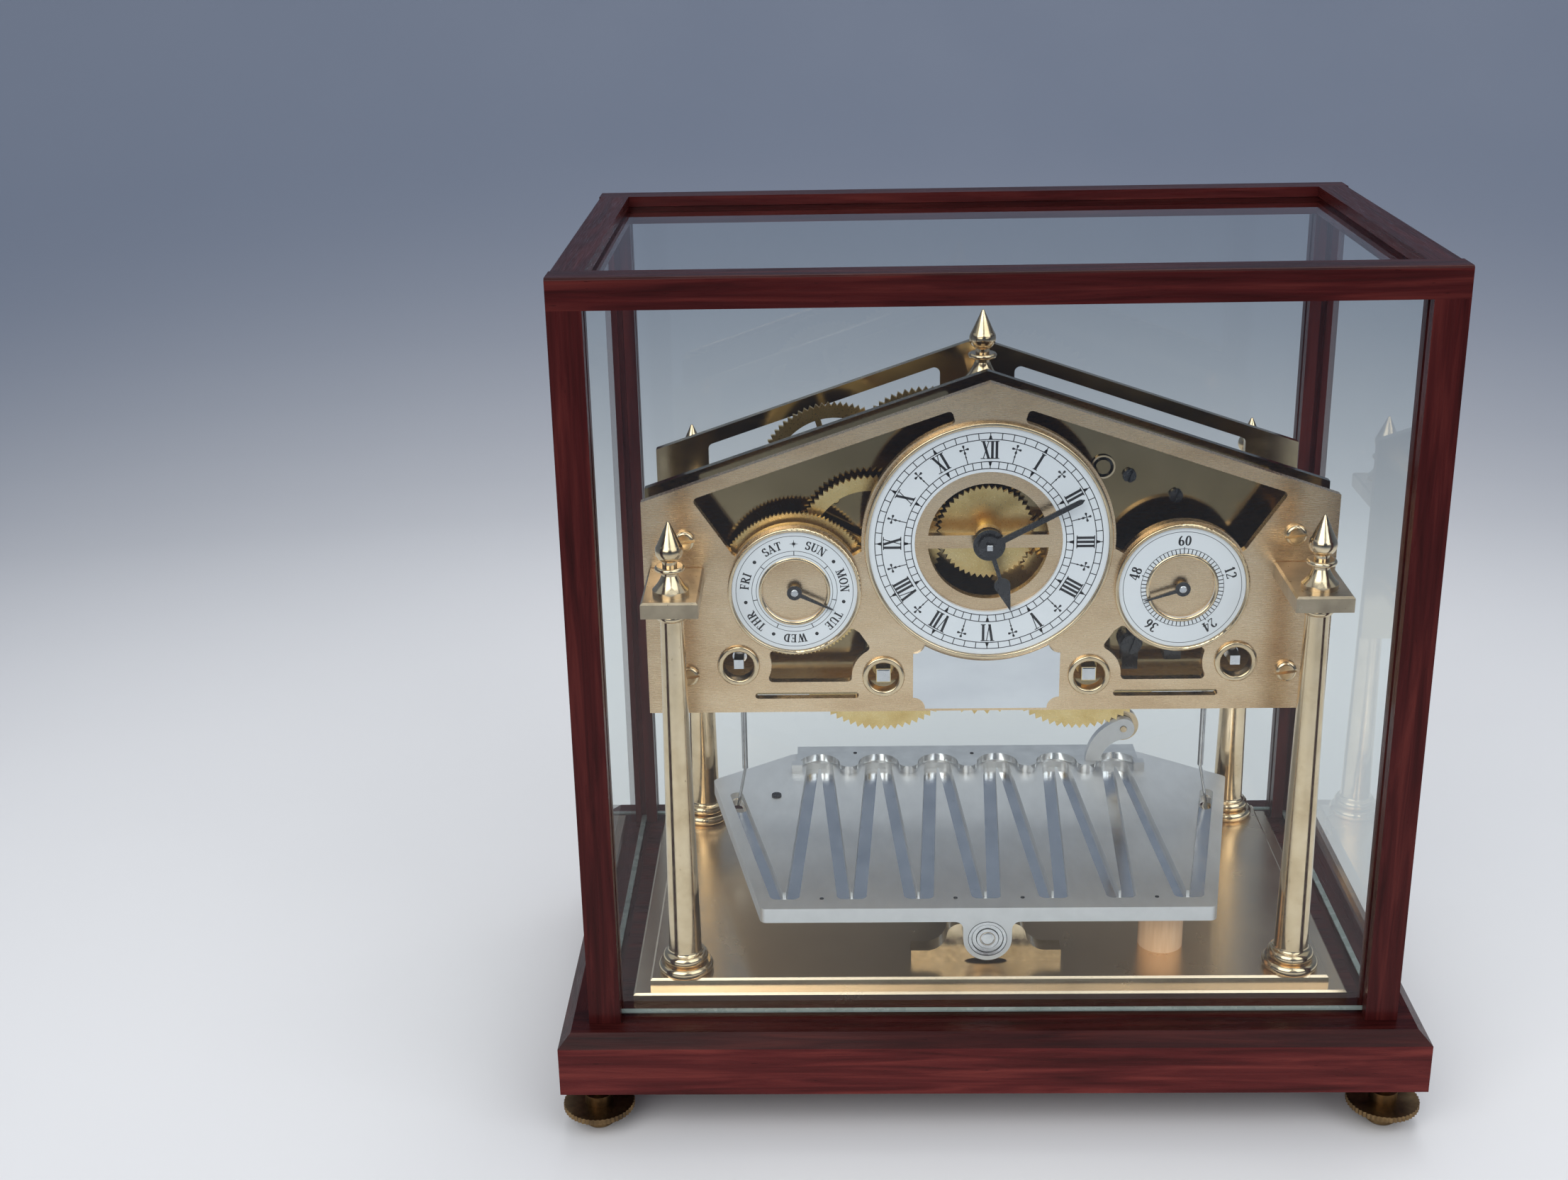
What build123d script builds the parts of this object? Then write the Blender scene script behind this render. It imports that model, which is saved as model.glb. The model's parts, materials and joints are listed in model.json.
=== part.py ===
from build123d import *
import math
import os

# Shared clearances and cuts, all lengths in millimetres
CUT_OVERRUN = 1.0
PIVOT_FIT = 0.15
SEAT_FIT = 0.1
SIDE_PLAY = 0.4

# Plinth of four boards round a base panel
PLINTH_WIDTH = 354.0
PLINTH_DEPTH = 217.0
PLINTH_HEIGHT = 26.5
PLINTH_CHAMFER = 5.0
BOARD_WIDTH = 22.0
BASE_PANEL_THICK = 14.0

# Levelling feet
FOOT_INSET = 13.9
FOOT_LIFT = 22.3
FOOT_HUB_RADIUS = 6.6
FOOT_HUB_HEIGHT = 8.0
FOOT_HUB_ROUND = 1.2
FOOT_DISC_RADIUS = 14.9
FOOT_DISC_HEIGHT = 2.4
FOOT_KNURLS = 48
FOOT_KNURL_DEPTH = 0.5
FOOT_NECK_RADIUS = 5.8
FOOT_NECK_HEIGHT = 4.4
FOOT_STUD_RADIUS = 3.0
FOOT_STUD_LENGTH = 15.0

# Glazed cover that lifts off the plinth
COVER_WIDTH = 330.0
COVER_DEPTH = 194.0
COVER_HEIGHT = 309.2
COVER_BAR = 13.0
COVER_RAIL_HEIGHT = 12.0
COVER_EDGE_ROUND = 1.2
PANE_THICK = 2.5
PANE_GROOVE_DEPTH = 4.0
PANE_LIFT = 1.5
TOP_PANE_DROP = 4.5

# Stepped brass bed
BED_LOWER_WIDTH = 296.0
BED_LOWER_DEPTH = 165.0
BED_LOWER_THICK = 5.0
BED_UPPER_WIDTH = 282.0
BED_UPPER_DEPTH = 158.0
BED_UPPER_THICK = 5.0
BED_CHAMFER = 0.8

# Turned columns
COLUMN_OUT = 126.5
COLUMN_SETBACK = 70.0
COLUMN_HEIGHT = 162.2
COLUMN_BASE_RADIUS = 11.6
COLUMN_BASE_HEIGHT = 4.4
COLUMN_RING_RADIUS = 9.5
COLUMN_RING_HEIGHT = 4.4
COLUMN_SWELL = 1.2
COLUMN_COVE_HEIGHT = 1.6
COLUMN_COVE_HOLLOW = 0.4
COLUMN_FOOT_RADIUS = 6.9
COLUMN_NECK_RADIUS = 4.7
COLUMN_BEAD_RADIUS = 6.3
COLUMN_BEAD_HEIGHT = 3.4
COLUMN_CAP_HEIGHT = 1.0

# Bracket slabs that carry the plates on the columns
BRACKET_WIDTH = 22.5
BRACKET_THICK = 6.5
BRACKET_OVERHANG = 11.3
BRACKET_EDGE_ROUND = 0.8

# Turned finials
FINIAL_HEIGHT = 29.6
FINIAL_FOOT_RADIUS = 7.2
FINIAL_BAND_HEIGHT = 2.0
FINIAL_SKIRT_HEIGHT = 5.9
FINIAL_SKIRT_HOLLOW = 0.4
FINIAL_NECK_RADIUS = 3.3
FINIAL_NECK_HEIGHT = 1.7
FINIAL_RING_RADIUS = 6.0
FINIAL_RING_HEIGHT = 2.0
FINIAL_STEM_RADIUS = 2.9
FINIAL_STEM_HEIGHT = 2.0
FINIAL_ONION_RADIUS = 5.5
FINIAL_ONION_HEIGHT = 6.8
FINIAL_ONION_TOP_SHARE = 0.86
FINIAL_TIP_RADIUS = 0.5
APEX_FOOT_RADIUS = 6.7
APEX_SETBACK = 26.0

# Movement plates
PLATE_THICK = 4.0
PLATE_HALF_WIDTH = 140.0
PLATE_DROP = 58.0
PLATE_SIDE = 92.4
PLATE_RISE = 47.8
FRONT_GAP = 14.5
BACK_GAP = 53.5
FRONT_PLATE_SETBACK = 30.0
PILLAR_OUT = 123.0
PILLAR_LOW = 17.0
PILLAR_STEP = 59.0
PILLAR_RADIUS = 5.0
RIDGE_WIDTH = 10.0
RIDGE_THICK = 4.0
RIDGE_DROP = 11.2
SCREW_RADIUS = 4.5
SCREW_HEIGHT = 2.6
SCREW_EDGE_ROUND = 1.5
SCREW_SLOT_WIDTH = 1.2
SCREW_SLOT_DEPTH = 1.4
SCREW_SLOT_TURN = 8.0

# Dials, set out from the middle of the main dial
DIAL_LIFT = 74.3
DIAL_THICK = 1.6
MAIN_DIAL_RADIUS = 48.4
MAIN_DIAL_HOLE = 29.8
SIDE_DIAL_OUT = 78.6
SIDE_DIAL_DROP = 20.1
SIDE_DIAL_RADIUS = 25.6
SIDE_DIAL_HOLE = 13.2
BEZEL_WIDTH = 1.7
BEZEL_PROUD = 1.2
BEZEL_EDGE_ROUND = 0.6

# Openings in the front plate
WINDOW_EDGE = 6.0
WINDOW_LAND = 2.4
WINDOW_TOP_IN = 15.2
WINDOW_TOP_OUT = 119.6
WINDOW_SIDE_IN = 103.6
WINDOW_SIDE_DROP = 4.5
WINDOW_NECK_OUT = 51.5
WINDOW_NECK_DROP = 3.8
LOWER_WINDOW_LIFT = 13.5
LOWER_WINDOW_IN = 46.6
LOWER_WINDOW_SHOULDER = 26.9
LOWER_WINDOW_TIP_OUT = 52.2
LOWER_WINDOW_TIP_LIFT = 35.3
WINDING_LAND = 4.3
SETTING_LAND = 4.8
SLOT_LENGTH = 43.0
SLOT_HEIGHT = 2.7
SLOT_OUT = 74.2
SLOT_LIFT = 7.4
CENTRE_WINDOW_RADIUS = 24.5
CENTRE_BAR_HEIGHT = 5.5
CENTRE_BOSS_RADIUS = 6.2
REAR_SLOT_HEIGHT = 16.0
REAR_SLOT_IN = 16.0
REAR_SLOT_OUT = 117.0
WINDOW_CORNER_ROUND = 1.8
REAR_SLOT_ROUND = 2.6

# Winding and setting holes
WINDING_OUT = 42.4
WINDING_DROP = 58.5
SETTING_OUT = 102.3
SETTING_DROP = 53.0
BUSH_RADIUS = 8.8
BUSH_BORE = 6.3
BUSH_SLEEVE = 7.5
BUSH_PROUD = 1.6
BUSH_EDGE_ROUND = 0.9
WINDING_SQUARE = 6.0
SETTING_SQUARE = 4.0
SQUARE_LENGTH = 9.0
SQUARE_SINK = 0.8

# Collar and dark fittings on the front of the middle plate, set out from the middle of the main dial
COLLAR_OUT = 47.4
COLLAR_RISE = 25.6
COLLAR_RADIUS = 5.0
COLLAR_BORE = 4.2
COLLAR_PIVOT_RADIUS = 3.0
COLLAR_PROUD = 1.2
COLLAR_SINK = 1.5
CLICK_OUT = 61.3
CLICK_DROP = 50.4
CLICK_RADIUS = 5.0
CLICK_WIDTH = 6.5
CLICK_LENGTH = 11.8
CLICK_THICK = 4.0
CLICK_SCREW_RADIUS = 4.2
CLICK_SCREW_HEIGHT = 2.4
STOP_OUT = 78.7
STOP_DROP = 55.3
STOP_WIDTH = 7.0
STOP_HEIGHT = 4.2
STOP_THICK = 5.5
INNER_SCREW_OUT = 58.2
INNER_SCREW_RISE = 21.8
OUTER_SCREW_OUT = 77.5
OUTER_SCREW_RISE = 13.0
FITTING_SCREW_RADIUS = 2.8
FITTING_SCREW_HEIGHT = 1.8
FITTING_SLOT_TURN = 72.0

# Bare plaque under the main dial
PLAQUE_HALF_WIDTH = 30.2
PLAQUE_LIFT = 1.4
PLAQUE_HEIGHT = 29.6
PLAQUE_THICK = 1.0
PLAQUE_NOTCH = 5.0
PLAQUE_DIAL_GAP = 1.4

# Tooth form and wheel sizes
TOOTH_TIP_SHARE = 0.85
TOOTH_ROOT_SHARE = 1.25
WHEEL_THICK = 2.0
GREAT_WHEEL_THICK = 2.5
PINION_OVERLAP = 0.4
ARBOR_RADIUS = 1.8
WINDING_ARBOR_RADIUS = 4.4
SETTING_ARBOR_RADIUS = 3.0
CRANK_ARBOR_RADIUS = 2.6
ARBOR_SINK = 0.4
HUB_RADIUS = 4.5
SPOKE_WIDTH = 2.4
RIM_WIDTH = 5.0
CROSSINGS = 5
BARREL_RADIUS = 29.0
BARREL_LENGTH = 16.0

# Layers of the wheels in front of the middle plate
MINUTE_LAYER_GAP = 1.1
HOUR_LAYER_GAP = 1.4
DAY_LAYER_GAP = 3.2

# Layers of the wheels behind the middle plate
SECOND_LAYER = 1.9
GREAT_LAYER = 7.0
CENTRE_LAYER = 11.5
RELEASE_LAYER = 19.5
THIRD_LAYER = 27.5
SECONDS_LAYER = 37.5

# Tooth counts
CANNON_TEETH = 14
MINUTE_TEETH = 42
MINUTE_PINION_TEETH = 12
HOUR_TEETH = 48
TRANSFER_TEETH = 72
TRANSFER_PINION_TEETH = 12
DAY_TEETH = 112
GREAT_TEETH = 72
SECOND_PINION_TEETH = 12
SECOND_TEETH = 40
CENTRE_PINION_TEETH = 20
CENTRE_TEETH = 48
RELEASE_PINION_TEETH = 6
RELEASE_TEETH = 75
LOCKING_PINION_TEETH = 10
LOCKING_TEETH = 78
THIRD_PINION_TEETH = 6
THIRD_TEETH = 60
SECONDS_PINION_TEETH = 8
SECONDS_TEETH = 40
CRANK_PINION_TEETH = 20

# Arbor places, set out from the middle of the main dial
TRANSFER_OUT = 48.0
TRANSFER_DROP = 4.8
MINUTE_WHEEL_ANGLE = -35.0
SECOND_DROP = 51.3
RELEASE_OUT = 22.9
RELEASE_RISE = 18.3
LOCKING_OUT = 61.7
LOCKING_RISE = 12.7
LOCKING_WHEEL_RADIUS = 32.7
THIRD_ANGLE = -14.0
CRANK_OUT = 76.6
CRANK_DROP = 65.3

# Hands, with angles clockwise from upright
HAND_THICK = 0.9
HAND_LIFT = 1.2
HOUR_PIPE_RADIUS = 3.9
HOUR_HUB_RADIUS = 6.5
MINUTE_HUB_RADIUS = 4.4
SIDE_HUB_RADIUS = 3.05
MINUTE_HAND_LENGTH = 42.0
HOUR_HAND_LENGTH = 29.9
DAY_HAND_LENGTH = 17.7
SECONDS_HAND_LENGTH = 16.2
HAND_POINT = 1.6
MINUTE_ROOT_WIDTH = 2.8
MINUTE_TIP_WIDTH = 1.9
MINUTE_SQUARE = 2.6
HOUR_ROOT_WIDTH = 2.2
HOUR_TIP_WIDTH = 0.9
SIDE_HAND_ROOT_WIDTH = 1.8
SIDE_HAND_TIP_WIDTH = 0.7
SPADE_RADIUS = 3.3
SPADE_PLACE_SHARE = 0.61
MINUTE_ANGLE = 62.8
HOUR_ANGLE = 162.3
DAY_ANGLE = 115.7
SECONDS_ANGLE = 251.8

# Tilting tray with the zig-zag track
TRAY_TOP_LIFT = 29.2
TRAY_THICK = 6.5
TRAY_FRONT = 72.6
TRAY_BACK = 78.5
TRAY_FRONT_HALF = 94.4
TRAY_CORNER_HALF = 120.8
TRAY_CORNER_PLACE = 50.5
TRAY_BACK_HALF = 83.5
TRAY_CORNER_ROUND = 3.0
TRACK_WIDTH = 6.0
TRACK_DEPTH = 3.6
TRACK_PITCH = 28.2
TRACK_TURN = 6.6
TRACK_FRONT_TURNS = 7
TRACK_FRONT = 61.5
TRACK_BACK = 65.0
TRACK_END_OUT = 109.0
TRACK_END_PLACE = 34.0
TRIP_SLOT_WIDTH = 5.0
TRIP_SLOT_LENGTH = 15.0
FLOOR_THICK = 0.8

# Guard over the back turns of the track
GUARD_THICK = 4.0
GUARD_HALF_WIDTH = 81.2
GUARD_WAVE_PLACE = 60.0
GUARD_CREST_RADIUS = 9.5
GUARD_TAB = 5.0

# Tray pivot, its bearings and its brackets
PIVOT_LIFT = 14.6
LUG_RADIUS = 10.1
LUG_THICK = 6.0
LUG_FILLET = 3.6
BEARING_RADIUS = 8.0
BEARING_BORE = 3.2
BEARING_RACE = 1.3
BEARING_SHIELD_SINK = 0.5
TRAY_BRACKET_GAP = 0.8
TRAY_BRACKET_THICK = 8.0
TRAY_BRACKET_HALF = 31.5
TRAY_BRACKET_FOOT = 5.2
TRAY_BRACKET_SHOULDER = 24.0
TRAY_BRACKET_WAIST = 16.5
TRAY_BRACKET_TOP_HALF = 10.0
TRAY_BRACKET_WAIST_LIFT = 13.0
TRAY_BRACKET_HEIGHT = 17.8
TRAY_BRACKET_NOTCH = 9.0
TRAY_BRACKET_NOTCH_RISE = 1.8

# Wooden rest peg under the tray
PEG_RADIUS = 9.4
PEG_OUT = 75.4
PEG_PLACE = 51.0
PEG_GAP = 3.5

# Arm, rod and crank that tilt the tray
ARM_THICK = 4.0
ARM_PLACE = 60.0
ARM_FOOT_IN = 56.0
ARM_FOOT_WIDTH = 6.8
ARM_EYE_OUT = 73.4
ARM_EYE_LIFT = 16.4
ARM_EYE_RADIUS = 5.2
ARM_PIN_RADIUS = 1.5
ARM_BEND_SHARE = 0.27
ROD_END_RADIUS = 7.7
ROD_TOP_RADIUS = 5.0
ROD_WIDTH = 6.0
ROD_THICK = 4.0
CRANK_DISC_RADIUS = 9.5
CRANK_DISC_THICK = 4.0
CRANK_DISC_GAP = 12.0
CRANK_PIN_RADIUS = 1.5
CRANK_BUSH_RADIUS = 6.0

# Trip rods that the ball pushes at the ends of the track
TRIP_OUT = 104.5
TRIP_SETBACK = 6.0
TRIP_PIVOT_DROP = 61.3
TRIP_EYE_RADIUS = 3.2
TRIP_EYE_THICK = 3.0
TRIP_PIN_RADIUS = 1.2
TRIP_CHEEK_THICK = 2.0
TRIP_ROD_RADIUS = 1.3
TRIP_WIRE_RADIUS = 0.7
TRIP_JOINT_LIFT = 16.0
TRIP_TIP_SINK = 3.0

# Heights worked out from the floor up
plinth_top = FOOT_LIFT + PLINTH_HEIGHT
bed_step = plinth_top + BED_LOWER_THICK
bed_top = bed_step + BED_UPPER_THICK
slab_low = bed_top + COLUMN_HEIGHT
slab_top = slab_low + BRACKET_THICK
plate_low = slab_low - PLATE_DROP
shoulder_z = plate_low + PLATE_SIDE
apex_z = shoulder_z + PLATE_RISE
dial_z = plate_low + DIAL_LIFT
tray_top = bed_top + TRAY_TOP_LIFT
tray_low = tray_top - TRAY_THICK
guard_top = tray_top + GUARD_THICK
pivot_z = bed_top + PIVOT_LIFT
cover_top = plinth_top + COVER_HEIGHT
rail_low = cover_top - COVER_RAIL_HEIGHT

# Depths of the plate faces, from front to back
front_face = -(COLUMN_SETBACK - FRONT_PLATE_SETBACK)
front_back = front_face + PLATE_THICK
middle_face = front_back + FRONT_GAP
middle_back = middle_face + PLATE_THICK
rear_face = middle_back + BACK_GAP
rear_back = rear_face + PLATE_THICK

# Depths of the wheel backs, a wheel reaching forward from there
minute_layer = middle_face - MINUTE_LAYER_GAP
hour_layer = minute_layer - WHEEL_THICK - HOUR_LAYER_GAP
day_layer = hour_layer - WHEEL_THICK - DAY_LAYER_GAP
second_layer = middle_back + SECOND_LAYER + WHEEL_THICK
great_layer = middle_back + GREAT_LAYER + GREAT_WHEEL_THICK
centre_layer = middle_back + CENTRE_LAYER + WHEEL_THICK
release_layer = middle_back + RELEASE_LAYER + WHEEL_THICK
third_layer = middle_back + THIRD_LAYER + WHEEL_THICK
seconds_layer = middle_back + SECONDS_LAYER + WHEEL_THICK

# Depths of the hands and dials
dial_front = front_face - DIAL_THICK
bezel_front = dial_front - BEZEL_PROUD
side_hand_back = dial_front - HAND_LIFT
hour_hand_back = bezel_front - HAND_LIFT
minute_hand_back = hour_hand_back - HAND_THICK - HAND_LIFT

# Places of the columns and feet
column_places = [(sx * COLUMN_OUT, sy * COLUMN_SETBACK) for sy in (-1, 1) for sx in (-1, 1)]
foot_out = PLINTH_WIDTH / 2 - FOOT_INSET
foot_setback = PLINTH_DEPTH / 2 - FOOT_INSET
pillar_places = [
    (side * PILLAR_OUT, plate_low + lift)
    for side in (-1, 1)
    for lift in (PILLAR_LOW, PILLAR_LOW + PILLAR_STEP)
]


def front_view(y):
    """Plane across the object at depth y: width to the right, height up, extrusion towards the front."""
    return Plane(origin=(0, y, 0), x_dir=(1, 0, 0), z_dir=(0, -1, 0))


def turned_view(x, y, z):
    """Plane through an upright axis at x, y, for half profiles given as radius and height above z."""
    return Plane(origin=(x, y, z), x_dir=(1, 0, 0), z_dir=(0, -1, 0))


def upright(x, y):
    return Axis((x, y, 0), (0, 0, 1))


def around(middle, distance, angle):
    """Place at a distance from a middle, the angle counted from the right, in degrees."""
    turn = math.radians(angle)
    return middle[0] + distance * math.cos(turn), middle[1] + distance * math.sin(turn)


def mesh_module(place, teeth, next_place, next_teeth):
    """Module of two wheels whose places are set and whose teeth meet."""
    return 2 * math.dist(place, next_place) / (teeth + next_teeth)


def mesh_turn(place, teeth, turn, next_place, next_teeth):
    """Angle of the next wheel that puts one of its gaps over a tooth of this one."""
    across = math.degrees(math.atan2(next_place[1] - place[1], next_place[0] - place[0]))
    return across + 180 + 180 / next_teeth - (turn - across) * teeth / next_teeth


def tip_radius(teeth, module):
    return module * (teeth / 2 + TOOTH_TIP_SHARE)


def root_radius(teeth, module):
    return module * (teeth / 2 - TOOTH_ROOT_SHARE)


def tooth_points(place, teeth, module, turn):
    """Corners of a toothed outline round a place, each tooth a pointed one."""
    corners = []
    for n in range(2 * teeth):
        radius = root_radius(teeth, module) if n % 2 else tip_radius(teeth, module)
        corners.append(around(place, radius, turn + 180 * n / teeth))
    return corners


def add_wheel(place, back, thick, teeth, module, turn, crossings=0):
    """Toothed wheel with its back at depth back, solid or crossed out to a rim and spokes."""
    rim = root_radius(teeth, module) - RIM_WIDTH
    with BuildSketch(front_view(back)) as outline:
        with BuildLine():
            Polyline(*tooth_points(place, teeth, module, turn), close=True)
        make_face()
        if crossings:
            with Locations(place):
                Circle(rim, mode=Mode.SUBTRACT)
                Circle(HUB_RADIUS)
                with PolarLocations(0, crossings, start_angle=turn):
                    Rectangle(rim + RIM_WIDTH / 2, SPOKE_WIDTH, align=(Align.MIN, Align.CENTER))
    extrude(outline.sketch, amount=thick)


def add_pinion(place, wheel_back, wheel_thick, teeth, module, turn):
    """Pinion that a wheel of the given layer meets, a little longer than that wheel is thick."""
    add_wheel(place, wheel_back + PINION_OVERLAP, wheel_thick + 2 * PINION_OVERLAP, teeth, module, turn)


def add_rod(place, front, back, radius):
    """Round rod along the depth."""
    with BuildSketch(front_view(back)) as section:
        with Locations(place):
            Circle(radius)
    extrude(section.sketch, amount=back - front)


def add_square(place, front, back, side):
    """Square rod along the depth."""
    with BuildSketch(front_view(back)) as section:
        with Locations(place):
            Rectangle(side, side)
    extrude(section.sketch, amount=back - front)


def cut_bore(place, front, back, radius):
    """Round bore along the depth, past both ends."""
    with BuildSketch(front_view(back + CUT_OVERRUN)) as section:
        with Locations(place):
            Circle(radius)
    extrude(section.sketch, amount=back - front + 2 * CUT_OVERRUN, mode=Mode.SUBTRACT)


def cut_slot(place, front, depth, length, turn):
    """Screwdriver slot in a head whose face is at depth front."""
    with BuildSketch(front_view(front + depth)) as slot:
        with Locations(place):
            Rectangle(length + CUT_OVERRUN, SCREW_SLOT_WIDTH, rotation=turn)
    extrude(slot.sketch, amount=depth + CUT_OVERRUN, mode=Mode.SUBTRACT)


# Places of the arbors, as width and height
centre = (0, dial_z)
day_place = (-SIDE_DIAL_OUT, dial_z - SIDE_DIAL_DROP)
seconds_place = (SIDE_DIAL_OUT, dial_z - SIDE_DIAL_DROP)
transfer_place = (-TRANSFER_OUT, dial_z - TRANSFER_DROP)
second_place = (0, dial_z - SECOND_DROP)
winding_left = (-WINDING_OUT, dial_z - WINDING_DROP)
winding_right = (WINDING_OUT, dial_z - WINDING_DROP)
setting_left = (-SETTING_OUT, dial_z - SETTING_DROP)
setting_right = (SETTING_OUT, dial_z - SETTING_DROP)
release_place = (-RELEASE_OUT, dial_z + RELEASE_RISE)
locking_place = (-LOCKING_OUT, dial_z + LOCKING_RISE)
crank_place = (CRANK_OUT, dial_z - CRANK_DROP)
collar_place = (COLLAR_OUT, dial_z + COLLAR_RISE)
click_place = (CLICK_OUT, dial_z - CLICK_DROP)
stop_place = (STOP_OUT, dial_z - STOP_DROP)
fitting_screw_places = [
    (INNER_SCREW_OUT, dial_z + INNER_SCREW_RISE),
    (OUTER_SCREW_OUT, dial_z + OUTER_SCREW_RISE),
]

# Modules from the distances between the arbors, and the places that follow from them
hour_module = mesh_module(centre, HOUR_TEETH, transfer_place, TRANSFER_TEETH)
minute_reach = hour_module * (HOUR_TEETH + MINUTE_PINION_TEETH) / 2
minute_place = around(centre, minute_reach, MINUTE_WHEEL_ANGLE)
cannon_module = mesh_module(centre, CANNON_TEETH, minute_place, MINUTE_TEETH)
day_module = mesh_module(transfer_place, TRANSFER_PINION_TEETH, day_place, DAY_TEETH)
second_module = mesh_module(centre, CENTRE_PINION_TEETH, second_place, SECOND_TEETH)
great_module = mesh_module(second_place, SECOND_PINION_TEETH, winding_left, GREAT_TEETH)
centre_module = mesh_module(centre, CENTRE_TEETH, release_place, RELEASE_PINION_TEETH)
release_module = mesh_module(release_place, RELEASE_TEETH, locking_place, LOCKING_PINION_TEETH)
locking_module = 2 * LOCKING_WHEEL_RADIUS / (LOCKING_TEETH + 2 * TOOTH_TIP_SHARE)
third_reach = centre_module * (CENTRE_TEETH + THIRD_PINION_TEETH) / 2
third_place = around(centre, third_reach, THIRD_ANGLE)
third_module = mesh_module(third_place, THIRD_TEETH, seconds_place, SECONDS_PINION_TEETH)
seconds_module = mesh_module(seconds_place, SECONDS_TEETH, crank_place, CRANK_PINION_TEETH)

# Turns that bring the teeth into mesh, from the centre arbor outwards
cannon_turn = 0
minute_turn = mesh_turn(centre, CANNON_TEETH, cannon_turn, minute_place, MINUTE_TEETH)
minute_pinion_turn = 0
hour_turn = mesh_turn(minute_place, MINUTE_PINION_TEETH, minute_pinion_turn, centre, HOUR_TEETH)
transfer_turn = mesh_turn(centre, HOUR_TEETH, hour_turn, transfer_place, TRANSFER_TEETH)
transfer_pinion_turn = 0
day_turn = mesh_turn(
    transfer_place, TRANSFER_PINION_TEETH, transfer_pinion_turn, day_place, DAY_TEETH
)
centre_pinion_turn = 0
second_turn = mesh_turn(centre, CENTRE_PINION_TEETH, centre_pinion_turn, second_place, SECOND_TEETH)
second_pinion_turn = 0
great_left_turn = mesh_turn(
    second_place, SECOND_PINION_TEETH, second_pinion_turn, winding_left, GREAT_TEETH
)
great_right_turn = mesh_turn(
    second_place, SECOND_PINION_TEETH, second_pinion_turn, winding_right, GREAT_TEETH
)
centre_turn = 0
release_pinion_turn = mesh_turn(
    centre, CENTRE_TEETH, centre_turn, release_place, RELEASE_PINION_TEETH
)
release_turn = 0
locking_pinion_turn = mesh_turn(
    release_place, RELEASE_TEETH, release_turn, locking_place, LOCKING_PINION_TEETH
)
third_pinion_turn = mesh_turn(centre, CENTRE_TEETH, centre_turn, third_place, THIRD_PINION_TEETH)
third_turn = 0
seconds_pinion_turn = mesh_turn(
    third_place, THIRD_TEETH, third_turn, seconds_place, SECONDS_PINION_TEETH
)
seconds_turn = 0
crank_turn = mesh_turn(seconds_place, SECONDS_TEETH, seconds_turn, crank_place, CRANK_PINION_TEETH)

os.makedirs("parts", exist_ok=True)

# Plinth boards, butted at the corners and bevelled along the top outer edge
foot_bore = FOOT_STUD_RADIUS + PIVOT_FIT
with BuildPart() as plinth_long_boards:
    for side in (-1, 1):
        with BuildSketch(Plane.XY.offset(FOOT_LIFT)):
            with Locations((0, side * (PLINTH_DEPTH - BOARD_WIDTH) / 2)):
                Rectangle(PLINTH_WIDTH, BOARD_WIDTH)
        extrude(amount=PLINTH_HEIGHT)
    top_edges = plinth_long_boards.edges().group_by(Axis.Z)[-1]
    outer_edges = top_edges.filter_by(Axis.X).sort_by(Axis.Y)
    chamfer([outer_edges[0], outer_edges[-1]], length=PLINTH_CHAMFER)
    chamfer(
        plinth_long_boards.edges().group_by(Axis.Z)[-1].filter_by(Axis.Y),
        length=PLINTH_CHAMFER,
    )
    for sx in (-1, 1):
        for sy in (-1, 1):
            with BuildSketch(Plane.XY.offset(FOOT_LIFT - CUT_OVERRUN)):
                with Locations((sx * foot_out, sy * foot_setback)):
                    Circle(foot_bore)
            extrude(amount=CUT_OVERRUN + FOOT_STUD_LENGTH + SIDE_PLAY, mode=Mode.SUBTRACT)
plinth_long_boards.part.label = "plinth_long_boards"
export_step(plinth_long_boards.part, "parts/plinth_long_boards.step")

side_board_length = PLINTH_DEPTH - 2 * BOARD_WIDTH
with BuildPart() as plinth_short_boards:
    for side in (-1, 1):
        with BuildSketch(Plane.XY.offset(FOOT_LIFT)):
            with Locations((side * (PLINTH_WIDTH - BOARD_WIDTH) / 2, 0)):
                Rectangle(BOARD_WIDTH, side_board_length)
        extrude(amount=PLINTH_HEIGHT)
    top_edges = plinth_short_boards.edges().group_by(Axis.Z)[-1]
    outer_edges = top_edges.filter_by(Axis.Y).sort_by(Axis.X)
    chamfer([outer_edges[0], outer_edges[-1]], length=PLINTH_CHAMFER)
plinth_short_boards.part.label = "plinth_short_boards"
export_step(plinth_short_boards.part, "parts/plinth_short_boards.step")

with BuildPart() as base_panel:
    with BuildSketch(Plane.XY.offset(plinth_top - BASE_PANEL_THICK)):
        Rectangle(PLINTH_WIDTH - 2 * BOARD_WIDTH, side_board_length)
    extrude(amount=BASE_PANEL_THICK)
base_panel.part.label = "base_panel"
export_step(base_panel.part, "parts/base_panel.step")

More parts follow.
